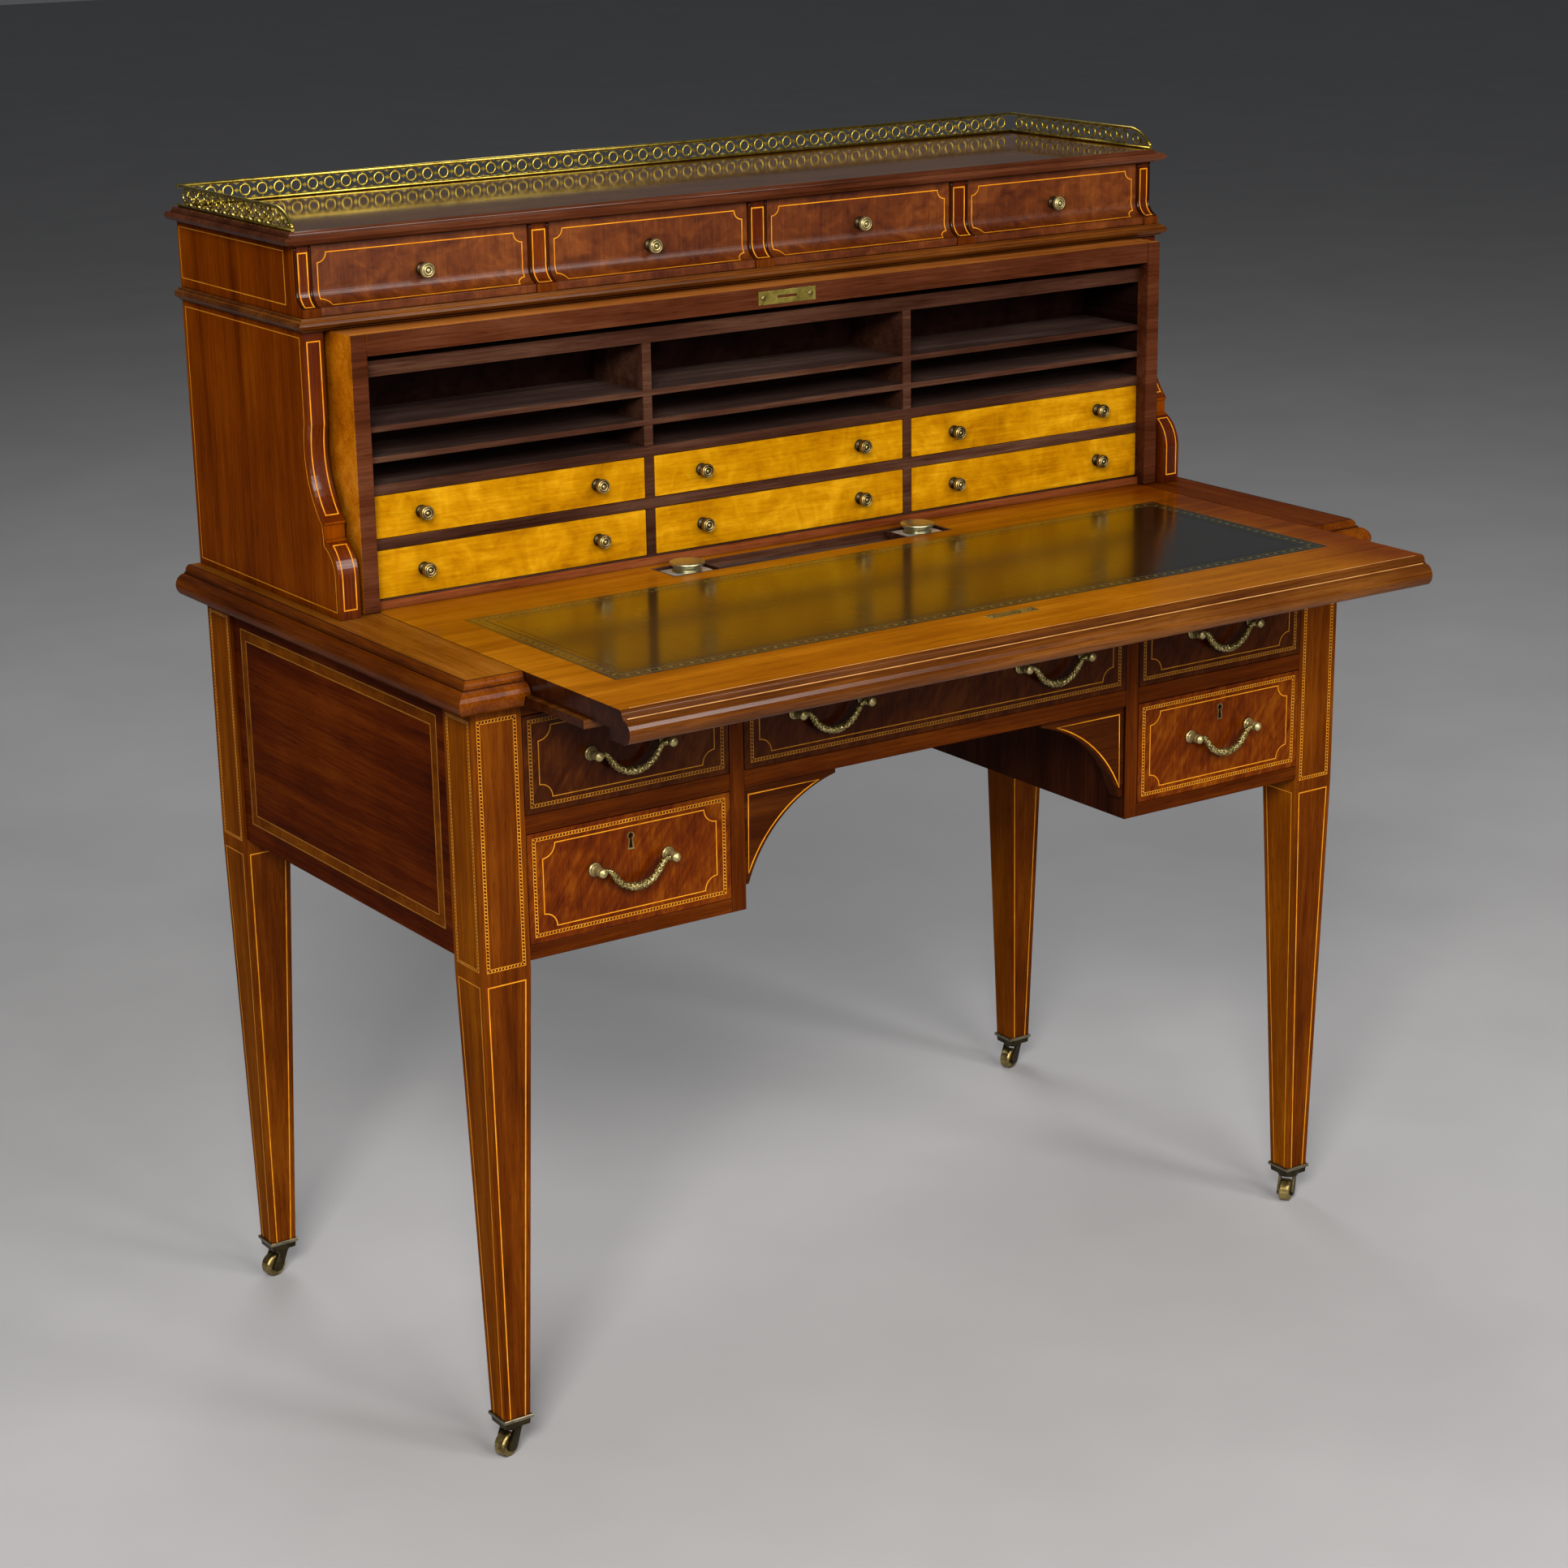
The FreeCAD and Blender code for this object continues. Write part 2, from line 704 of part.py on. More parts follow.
def lock_plates():
    """The lock plate in the front rail, with its bolt slot, and the strike plate in the board."""
    middle = case_top - case_rail_height / 2
    half_height = lock_plate_height / 2
    lock = box(-lock_plate_length / 2, lock_plate_length / 2, case_front, case_front + plate_thickness,
               middle - half_height, middle + half_height)
    slot_half = lock_plate_length / 6
    slot = box(-slot_half, slot_half, case_front - overrun, case_front + overrun,
               middle - plate_thickness, middle + plate_thickness)
    half_strike = strike_plate_width / 2
    strike = box(-strike_plate_length / 2, strike_plate_length / 2, strike_plate_centre - half_strike,
                 strike_plate_centre + half_strike, writing_height - plate_thickness, writing_height)
    mouth = box(-slot_half, slot_half, strike_plate_centre - plate_thickness,
                strike_plate_centre + plate_thickness,
                writing_height - overrun, writing_height + overrun)
    return [lock.cut(slot), strike.cut(mouth)]


def cabinet_sides():
    """Sides of the upper cabinet; the front edge sweeps into an impost and a scrolled foot."""
    lip = impost_lip
    sweep = (impost_front + (cabinet_front - impost_front) * sweep_arc_shares[0],
             impost_top + (sweep_top - impost_top) * sweep_arc_shares[1])
    foot = (scroll_front + (impost_front - scroll_front) * foot_arc_shares[0],
            foot_curve_bottom + (scroll_top - foot_curve_bottom) * foot_arc_shares[1])
    points = [(back_edge, writing_height), (scroll_front, writing_height),
              (scroll_front, foot_curve_bottom),
              (foot, (impost_front - 2 * lip, scroll_top - lip)), (impost_front - lip, scroll_top),
              (impost_front, scroll_top), (impost_front, impost_top), (impost_front - lip, impost_top),
              (impost_front - lip, impost_top + lip), (sweep, (cabinet_front, sweep_top)),
              (cabinet_front, cabinet_top), (back_edge, cabinet_top)]
    return pair(prism_x(points, -cabinet_half_width, -cabinet_inner))


def cabinet_back():
    """Back boards of the cabinet and of the frieze above it."""
    lower = box(-cabinet_inner, cabinet_inner, cabinet_back_front, cabinet_back_face,
                writing_height, cabinet_top)
    upper = box(-frieze_inner, frieze_inner, frieze_back_front, back_edge, frieze_bottom, frieze_top)
    return [lower, upper]


def middle_moulding():
    """The moulded board between the cabinet and the frieze."""
    half = cabinet_half_width + middle_moulding_reach
    front = cabinet_front - middle_moulding_front_reach
    return [moulded_board(middle_edge_shares, half, front, back_edge,
                          middle_moulding_reach, frieze_bottom, middle_moulding_thickness)]


def frieze_outline(proud, back, bottom, top):
    """The frieze front in (y, z): a plinth, a step, a hollow curve and an upright face."""
    face = frieze_face - proud
    step = face - frieze_flare
    plinth = step - frieze_step
    curve_bottom = frieze_bottom + frieze_plinth
    curve_top = curve_bottom + frieze_curve_height
    middle = (face - frieze_flare * frieze_arc_shares[0],
              curve_bottom + frieze_curve_height * frieze_arc_shares[1])
    outline = [(back, bottom), (plinth, bottom), (plinth, curve_bottom), (step, curve_bottom),
               (middle, (face, curve_top)), (face, top), (back, top)]
    return faceted(outline, arc_steps)


def frieze_case():
    """Ends, front strips and partitions that divide the frieze for its drawers."""
    end = frieze_outline(strip_proud, back_edge, frieze_bottom, frieze_top)
    pieces = pair(prism_x(end, -cabinet_half_width, -frieze_inner))
    strip = frieze_outline(strip_proud, frieze_face + strip_depth, frieze_bottom, frieze_top)
    for index in range(1, frieze_drawer_count):
        x = -frieze_inner + index * frieze_pitch - strip_width / 2
        pieces.append(prism_x(strip, x - strip_width / 2, x + strip_width / 2))
        half = partition_thickness / 2
        pieces.append(box(x - half, x + half, frieze_face + strip_depth, frieze_back_front,
                          frieze_bottom, frieze_top))
    return pieces


def cornice():
    return [moulded_board(cornice_edge_shares, cornice_half_width, cornice_front, back_edge,
                          cornice_reach, cornice_top, cornice_thickness)]


def gallery_strip(length, ramp):
    """A pierced brass strip along +X, drawn down at its far end by a ramp if it has one."""
    half = gallery_thickness / 2
    high = gallery_height
    if ramp:
        middle = (length - ramp * ramp_arc_shares[0],
                  high - (high - gallery_ramp_end) * ramp_arc_shares[1])
        points = [(0, 0), (length, 0), (length, gallery_ramp_end), (middle, (length - ramp, high)),
                  (0, high)]
    else:
        points = [(0, 0), (length, 0), (length, high), (0, high)]
    strip = prism_y(points, -half, half)
    count = int((length - ramp) / gallery_pitch)
    start = (length - ramp - count * gallery_pitch) / 2
    holes = []
    for index in range(count):
        x = start + (index + 1 / 2) * gallery_pitch
        ends = [V(x, side * overrun, high / 2) for side in (-1, 1)]
        holes.append(ringed([ring_about(end, V(1, 0, 0), V(0, 0, 1), gallery_hole_radius,
                                        gallery_hole_sides) for end in ends]))
    strip = strip.cut(Part.makeCompound(holes))
    rails = [box(0, length, -gallery_rail_width / 2, gallery_rail_width / 2, 0, gallery_rail_height)]
    rails.append(box(0, length - ramp, -gallery_rail_width / 2, gallery_rail_width / 2,
                     high - gallery_rail_height, high))
    return strip.fuse(rails).removeSplitter()


def gallery():
    """Pierced brass gallery round the back and sides of the top."""
    half_rail = gallery_rail_width / 2
    back = gallery_strip(2 * gallery_half_width, 0)
    back.translate(V(-gallery_half_width, gallery_back, cornice_top))
    length = gallery_back - half_rail - gallery_front
    side = gallery_strip(length, gallery_ramp)
    side.rotate(V(0, 0, 0), V(0, 0, 1), -90)
    side.translate(V(-gallery_half_width + half_rail, gallery_back - half_rail, cornice_top))
    return [back] + pair(side)


def drawer_box(x0, x1, y0, length, z0, z1, front, sizes):
    """A drawer: the given front, two sides, a back and a bottom board."""
    side_t, bottom_t, lift, drop = sizes
    front_t = front.BoundBox.YMax - y0
    top = z1 - drop
    back = y0 + length
    pieces = [front]
    pieces.append(box(x0, x0 + side_t, y0 + front_t, back, z0, top))
    pieces.append(box(x1 - side_t, x1, y0 + front_t, back, z0, top))
    pieces.append(box(x0 + side_t, x1 - side_t, back - side_t, back, z0, top))
    low = z0 + lift
    pieces.append(box(x0 + side_t, x1 - side_t, y0 + front_t, back - side_t, low, low + bottom_t))
    return pieces


lower_drawers = {
    "drawer_top_left": (-leg_inner, -pedestal_inner, middle_rail_top, top_rail_bottom),
    "drawer_top_right": (pedestal_inner, leg_inner, middle_rail_top, top_rail_bottom),
    "drawer_centre": (-stile_inner, stile_inner, middle_rail_top, top_rail_bottom),
    "drawer_bottom_left": (-leg_inner, -pedestal_inner, bottom_rail_top, middle_rail_bottom),
    "drawer_bottom_right": (pedestal_inner, leg_inner, bottom_rail_top, middle_rail_bottom),
}


def drawer_heights(name):
    """Heights of the handle posts and the keyhole of a lower drawer."""
    _, _, z0, z1 = lower_drawers[name]
    middle = (z0 + z1) / 2
    if "bottom" in name:
        return middle + low_post_rise, middle + low_key_rise
    return middle, middle + high_key_rise


def bail_centres(name):
    """Handle centres: one on each outer drawer, two on the centre one."""
    x0, x1, _, _ = lower_drawers[name]
    middle = (x0 + x1) / 2
    if name == "drawer_centre":
        return [x0 + centre_post_inset, x1 - centre_post_inset]
    return [middle]


def keyhole_outline(x, top, shrink):
    """A round head over a flared foot, in (x, z)."""
    radius = escutcheon_radius - shrink
    foot = escutcheon_foot_width / 2 - shrink
    waist = radius / 2
    head = top - escutcheon_radius
    bottom = top - escutcheon_height + shrink
    drop = math.sqrt(radius * radius - waist * waist)
    outline = [(x - foot, bottom), (x - waist, head - drop),
               ((x, head + radius), (x + waist, head - drop)), (x + foot, bottom)]
    return faceted(outline, keyhole_steps)


def lower_drawer(name):
    x0, x1, z0, z1 = lower_drawers[name]
    x0, x1, z0, z1 = x0 + drawer_gap, x1 - drawer_gap, z0 + drawer_lift, z1 - drawer_gap
    front = box(x0, x1, 0, drawer_front_thickness, z0, z1)
    middle = (x0 + x1) / 2
    _, key = drawer_heights(name)
    key_top = key + escutcheon_height / 2
    for shrink, depth in ((0, escutcheon_sunk), (escutcheon_wall, keyhole_depth)):
        front = front.cut(prism_y(keyhole_outline(middle, key_top, shrink), -overrun, depth))
    sizes = (drawer_side_thickness, drawer_bottom_thickness, drawer_bottom_lift, drawer_side_drop)
    return drawer_box(x0, x1, 0, drawer_length, z0, z1, front, sizes)


def handle_post(x, z):
    """A turned brass post with a cross hole for the bail's pin."""
    post = turned(post_shares, rose_radius, post_length, V(x, 0, z))
    radius = bail_pin_radius + bail_pin_gap
    ends = [V(x + side * rose_radius, -post_pivot, z) for side in (-1, 1)]
    hole = ringed([ring_about(end, V(0, 1, 0), V(0, 0, 1), radius, turned_sides) for end in ends])
    return post.cut(hole)


def drawer_fittings(name):
    """Handle posts and keyhole escutcheon of one drawer."""
    post, key = drawer_heights(name)
    pieces = []
    for centre in bail_centres(name):
        pieces += [handle_post(centre + side * post_spacing / 2, post) for side in (-1, 1)]
    x0, x1, _, _ = lower_drawers[name]
    middle = (x0 + x1) / 2
    key_top = key + escutcheon_height / 2
    ring = prism_y(keyhole_outline(middle, key_top, 0), -escutcheon_proud, escutcheon_sunk)
    ring = ring.cut(prism_y(keyhole_outline(middle, key_top, escutcheon_wall), -overrun, overrun))
    return pieces + [ring]


def bail(centre, z):
    """A swinging handle: a bent rod with a swelling at its middle and a pin at each end."""
    reach = post_spacing / 2 - post_radius - bail_gap
    points = [V(-reach, 0, 0), V(-reach + bail_shoulder, 0, 0), V(-bail_foot, 0, -bail_drop),
              V(bail_foot, 0, -bail_drop), V(reach - bail_shoulder, 0, 0), V(reach, 0, 0)]
    radii = [bail_shoulder_radius, bail_foot_radius, bail_foot_radius, bail_shoulder_radius]
    path = rounded_path(points, radii)
    half = len(path) // 2
    bead_ends = [V(-bail_bead_length / 2, 0, -bail_drop), V(bail_bead_length / 2, 0, -bail_drop)]
    swell = V((bail_bead_radius - bail_radius) * 2, 0, 0)
    places = [(point, bail_radius) for point in path[:half]]
    places += [(bead_ends[0], bail_radius), (bead_ends[0] + swell, bail_bead_radius),
               (bead_ends[1] - swell, bail_bead_radius), (bead_ends[1], bail_radius)]
    places += [(point, bail_radius) for point in path[half:]]
    rings = []
    for index, (point, radius) in enumerate(places):
        before = places[max(index - 1, 0)][0]
        after = places[min(index + 1, len(places) - 1)][0]
        into = (point - before).normalize() if index else V(1, 0, 0)
        out = (after - point).normalize() if index + 1 < len(places) else V(1, 0, 0)
        along = (into + out).normalize()
        across = along.cross(V(0, 1, 0)) * (1 / math.cos(into.getAngle(out) / 2))
        rings.append(ring_about(point, across, V(0, 1, 0), radius, turned_sides))
    pins = [Part.makeCylinder(bail_pin_radius, bail_pin_length, V(side * reach, 0, 0), V(side, 0, 0))
            for side in (-1, 1)]
    shape = ringed(rings).fuse(pins)
    shape.translate(V(centre, -post_pivot, z))
    return [shape]


def nest_drawer(bay, low):
    """A small satinwood drawer of the nest with two turned knobs."""
    x0 = -case_inner + bay * bay_pitch + drawer_gap
    x1 = x0 + bay_width - 2 * drawer_gap
    z0, z1 = (low_drawer_bottom, low_drawer_top) if low else (high_drawer_bottom, high_drawer_top)
    z0, z1 = z0 + drawer_lift, z1 - drawer_gap
    front = box(x0, x1, nest_front, nest_front + small_front_thickness, z0, z1)
    sizes = (small_side_thickness, small_bottom_thickness, small_bottom_thickness, small_side_drop)
    length = nest_back - small_drawer_clearance - nest_front
    pieces = drawer_box(x0, x1, nest_front, length, z0, z1, front, sizes)
    middle = (x0 + x1) / 2
    for side in (-1, 1):
        base = V(middle + side * (bay_width / 2 - knob_inset), nest_front, (z0 + z1) / 2)
        pieces.append(turned(knob_shares, knob_radius, knob_length, base))
    return pieces


def frieze_drawer(index):
    """A frieze drawer whose front follows the hollow curve, with one knob."""
    x0 = -frieze_inner + index * frieze_pitch + drawer_gap
    x1 = x0 + frieze_drawer_width - 2 * drawer_gap
    z0, z1 = frieze_bottom + drawer_lift, frieze_top - drawer_gap
    back = frieze_face + frieze_front_thickness
    front = prism_x(frieze_outline(0, back, z0, z1), x0, x1)
    sizes = (small_side_thickness, small_bottom_thickness, small_bottom_thickness, drawer_side_drop)
    y0 = frieze_face - frieze_flare - frieze_step
    pieces = drawer_box(x0, x1, y0, frieze_back_front - frieze_back_gap - y0, z0, z1, front, sizes)
    base = V((x0 + x1) / 2, frieze_face, (z0 + z1) / 2)
    return pieces + [turned(knob_shares, knob_radius, knob_length, base)]


def foot_centre(corner):
    side, rear = corners[corner]
    return side * foot_centre_x, carcass_depth - foot_centre_y if rear else foot_centre_y


def castor_cups():
    """Square brass cups on the feet, with a hole below for the swivel pin."""
    cups = []
    for corner in corners:
        x, y = foot_centre(corner)
        low, high = foot_width / 2 + cup_bottom_lip, foot_width / 2 + cup_top_lip
        cup = tapered((x - low, x + low, y - low, y + low, cup_bottom),
                      (x - high, x + high, y - high, y + high, cup_bottom + cup_height))
        fit = foot_width / 2 + cup_fit
        cup = cup.cut(box(x - fit, x + fit, y - fit, y + fit, foot_height, foot_height + cup_height))
        hole = swivel_radius + swivel_gap
        cups.append(cup.cut(round_post([(hole, 0), (hole, cup_height)], V(x, y, cup_bottom))))
    return cups


def castor_fork(corner):
    """Plate, swivel pin, two cheeks and the axle of a castor."""
    x, y = foot_centre(corner)
    half = wheel_width / 2 + wheel_gap
    plate_bottom = fork_top - fork_plate_thickness
    plate = round_post([(fork_plate_radius, 0), (fork_plate_radius, fork_plate_thickness)],
                       V(0, 0, plate_bottom))
    pin = Part.makeCylinder(swivel_radius, fork_plate_gap + cup_floor, V(0, 0, fork_top))
    width = cheek_width / 2
    toe = width / 2
    outline = [(-width, plate_bottom), (width, plate_bottom), (fork_trail + width, wheel_radius),
               (fork_trail + width, wheel_radius - toe), (fork_trail + toe, wheel_radius - width),
               (fork_trail - toe, wheel_radius - width), (fork_trail - width, wheel_radius - toe)]
    cheeks = [prism_y(outline, side * half, side * (half + cheek_thickness)) for side in (-1, 1)]
    ends = [V(fork_trail, side * (half + cheek_thickness), wheel_radius) for side in (-1, 1)]
    axle = ringed([ring_about(end, V(1, 0, 0), V(0, 0, 1), axle_radius, turned_sides) for end in ends])
    fork = plate.fuse([pin, axle] + cheeks).removeSplitter()
    fork.rotate(V(0, 0, 0), V(0, 0, 1), castor_angles[corner])
    fork.translate(V(x, y, 0))
    return [fork]


def castor_wheel(corner):
    x, y = foot_centre(corner)
    half = wheel_width / 2
    profile = [(wheel_radius - wheel_round, -half), (wheel_radius, wheel_round - half),
               (wheel_radius, half - wheel_round), (wheel_radius - wheel_round, half)]
    across, up = V(1, 0, 0), V(0, 0, 1)
    wheel = ringed([ring_about(V(fork_trail, along, wheel_radius), across, up, radius, round_sides)
                    for radius, along in profile])
    wheel = wheel.cut(Part.makeCylinder(wheel_bore_radius, wheel_width + overrun,
                                        V(fork_trail, -half - overrun / 2, wheel_radius), V(0, 1, 0)))
    wheel.rotate(V(0, 0, 0), V(0, 0, 1), castor_angles[corner])
    wheel.translate(V(x, y, 0))
    return [wheel]


def all_nodes():
    """Every sub-part by name, each a list of separate solids."""
    nodes = {
        "legs": legs(),
        "side_panels": side_panels(),
        "back_panels": back_panels(),
        "pedestal_sides": pedestal_sides(),
        "front_rails": front_rails(),
        "dust_boards": dust_boards(),
        "kneehole_brackets": kneehole_brackets(),
        "fixed_top": fixed_top(),
        "slide_bearers": slide_bearers(),
        "castor_cups": castor_cups(),
        "cabinet_sides": cabinet_sides(),
        "cabinet_back": cabinet_back(),
        "middle_moulding": middle_moulding(),
        "frieze_case": frieze_case(),
        "cornice": cornice(),
        "gallery": gallery(),
        "writing_board": writing_board(),
        "leather_inset": leather(),
        "pen_tray": pen_tray(),
        "ink_bottles": ink_bottles(),
        "nest_case": nest_case(),
        "nest_shelves": nest_shelves(),
        "lock_plates": lock_plates(),
        "inkwell_collars": inkwell_collars(),
        "inkwell_lid_left": inkwell_lid(-1),
        "inkwell_lid_right": inkwell_lid(1),
    }
    for corner in corners:
        nodes["castor_fork_" + corner] = castor_fork(corner)
        nodes["castor_wheel_" + corner] = castor_wheel(corner)
    for name in lower_drawers:
        nodes[name] = lower_drawer(name)
        nodes[name.replace("drawer", "fittings")] = drawer_fittings(name)
        post, _ = drawer_heights(name)
        centres = bail_centres(name)
        for index, centre in enumerate(centres):
            suffix = ("_left", "_right")[index] if len(centres) > 1 else ""
            nodes[name.replace("drawer", "bail") + suffix] = bail(centre, post)
    for bay, place in enumerate(("left", "middle", "right")):
        nodes["nest_drawer_high_" + place] = nest_drawer(bay, False)
        nodes["nest_drawer_low_" + place] = nest_drawer(bay, True)
    for index in range(frieze_drawer_count):
        nodes["frieze_drawer_%d" % (index + 1)] = frieze_drawer(index)
    return nodes


def main():
    os.makedirs("parts", exist_ok=True)
    for name, solids in all_nodes().items():
        shape = Part.makeCompound(solids)
        shape.translate(V(0, -origin_y, 0))
        shape.exportStep("parts/%s.step" % name)


main()
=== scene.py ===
import bmesh
import bpy
import json
from cmath import phase, rect
from math import cos, exp, pi, radians, sin
from mathutils import Matrix, Vector


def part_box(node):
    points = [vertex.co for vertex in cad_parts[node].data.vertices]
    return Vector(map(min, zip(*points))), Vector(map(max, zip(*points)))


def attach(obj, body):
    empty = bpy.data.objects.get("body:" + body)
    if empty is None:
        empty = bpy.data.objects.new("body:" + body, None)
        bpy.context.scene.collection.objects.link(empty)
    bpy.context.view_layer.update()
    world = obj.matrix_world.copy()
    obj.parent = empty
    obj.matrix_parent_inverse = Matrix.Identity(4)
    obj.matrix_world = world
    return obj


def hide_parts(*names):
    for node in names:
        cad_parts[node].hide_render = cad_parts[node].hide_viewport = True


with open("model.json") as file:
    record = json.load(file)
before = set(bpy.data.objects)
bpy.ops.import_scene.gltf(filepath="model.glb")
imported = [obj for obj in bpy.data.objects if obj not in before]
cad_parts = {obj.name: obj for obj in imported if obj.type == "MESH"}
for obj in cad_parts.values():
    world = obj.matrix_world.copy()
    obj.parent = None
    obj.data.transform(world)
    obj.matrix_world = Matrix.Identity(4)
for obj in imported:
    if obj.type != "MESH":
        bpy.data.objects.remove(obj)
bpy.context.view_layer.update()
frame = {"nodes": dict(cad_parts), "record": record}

# Lengths are millimetres, with y = 0 at the drawer fronts, until at() turns them into row metres
MM = 0.001
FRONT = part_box("front_rails")[0][1]
SCENE = bpy.context.scene
NODES = frame["nodes"]
JOINTS = {joint["name"]: joint for joint in frame["record"]["behaviour"]["joints"]}
CORNERS = ("front_left", "front_right", "back_left", "back_right")
LOWER = ("top_left", "top_right", "centre", "bottom_left", "bottom_right")
FRIEZE_DRAWERS = tuple("frieze_drawer_%d" % number for number in (1, 2, 3, 4))
NEST_DRAWERS = tuple("nest_drawer_%s_%s" % (row, place) for row in ("high", "low")
                     for place in ("left", "middle", "right"))
WHITE = (255, 255, 255)


def at(x, y, z):
    """A place in millimetres, y from the drawer fronts, as row metres."""
    return Vector((x * MM, FRONT + y * MM, z * MM))


def span(node):
    """Lowest and highest corners of a node in millimetres, y from the drawer fronts."""
    shift = Vector((0, FRONT, 0))
    low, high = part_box(node)
    return (Vector(low) - shift) / MM, (Vector(high) - shift) / MM


# Materials
def tone(red, green, blue):
    """A colour given in screen values from 0 to 255."""
    return tuple((value / 255) ** 2.2 for value in (red, green, blue)) + (1,)


class Shader:
    """A procedural material with short ways to add its nodes."""

    def __init__(self, name, **constants):
        self.material = bpy.data.materials.new(name)
        self.material.use_nodes = True
        self.tree = self.material.node_tree
        self.surface = self.tree.nodes["Principled BSDF"]
        self.place = self.add("ShaderNodeTexCoord").outputs["Object"]
        for key, value in constants.items():
            self.surface.inputs[key.replace("_", " ").title().replace("Ior", "IOR")].default_value = value

    def add(self, kind, inputs=None, **settings):
        node = self.tree.nodes.new(kind)
        for key, value in settings.items():
            setattr(node, key, value)
        for key, value in (inputs or {}).items():
            if isinstance(value, bpy.types.NodeSocket):
                self.tree.links.new(value, node.inputs[key])
            else:
                node.inputs[key].default_value = value
        return node

    def noise(self, scale, detail=3, rough=0.55, distortion=0.0, lean=0.0):
        """Noise; scale holds how many changes there are per metre along X, Y and Z, once leant about Y."""
        place = self.place
        if lean:
            place = self.add("ShaderNodeVectorRotate", {"Vector": place, "Angle": lean},
                             rotation_type="Y_AXIS").outputs[0]
        spot = self.add("ShaderNodeMapping", {"Vector": place, "Scale": scale})
        node = self.add("ShaderNodeTexNoise", {"Vector": spot.outputs[0], "Scale": 1, "Detail": detail,
                                               "Roughness": rough, "Distortion": distortion})
        return node.outputs["Fac"]

    def cells(self, density):
        """Distance from the middle of random cells."""
        return self.add("ShaderNodeTexVoronoi", {"Vector": self.place, "Scale": density}).outputs["Distance"]

    def math(self, operation, first, second=0.0):
        return self.add("ShaderNodeMath", {0: first, 1: second}, operation=operation).outputs[0]

    def sums(self, *parts):
        """A weighted sum of (socket, weight) pairs."""
        total = None
        for socket, weight in parts:
            part = self.math("MULTIPLY", socket, weight)
            total = part if total is None else self.math("ADD", total, part)
        return total

    def ramp(self, value, *stops):
        """A colour for a value, from (position, screen colour) stops."""
        node = self.add("ShaderNodeValToRGB", {0: value})
        elements = node.color_ramp.elements
        while len(elements) < len(stops):
            elements.new(0.5)
        for element, (position, colour) in zip(elements, stops):
            element.position = position
            element.color = tone(*colour)
        return node.outputs[0]

    def mix(self, share, first, second, blend="MIX"):
        node = self.add("ShaderNodeMix", {0: share, 6: first, 7: second}, data_type="RGBA", blend_type=blend)
        return node.outputs[2]

    def level(self, value, low, high, start=0, end=1):
        """A value between start and end mapped onto a range."""
        return self.add("ShaderNodeMapRange", {0: value, 1: start, 2: end, 3: low, 4: high}).outputs[0]

    def part(self, axis, source=None):
        """One coordinate of the place, or of another vector."""
        return self.add("ShaderNodeSeparateXYZ", {0: source or self.place}).outputs[axis]

    def shade(self, distance):
        """1 in the open and less in corners and recesses."""
        return self.add("ShaderNodeAmbientOcclusion", {"Distance": distance}, samples=4).outputs["AO"]

    def finish(self, colour, rough, bumps=()):
        """Links the colour, the roughness and a chain of (height, strength, distance) bumps."""
        links = {"Base Color": colour, "Roughness": rough}
        for height, strength, distance in bumps:
            inputs = {"Height": height, "Strength": strength, "Distance": distance}
            if "Normal" in links:
                inputs["Normal"] = links["Normal"]
            links["Normal"] = self.add("ShaderNodeBump", inputs).outputs[0]
        for key, value in links.items():
            self.tree.links.new(value, self.surface.inputs[key])
        return self.material


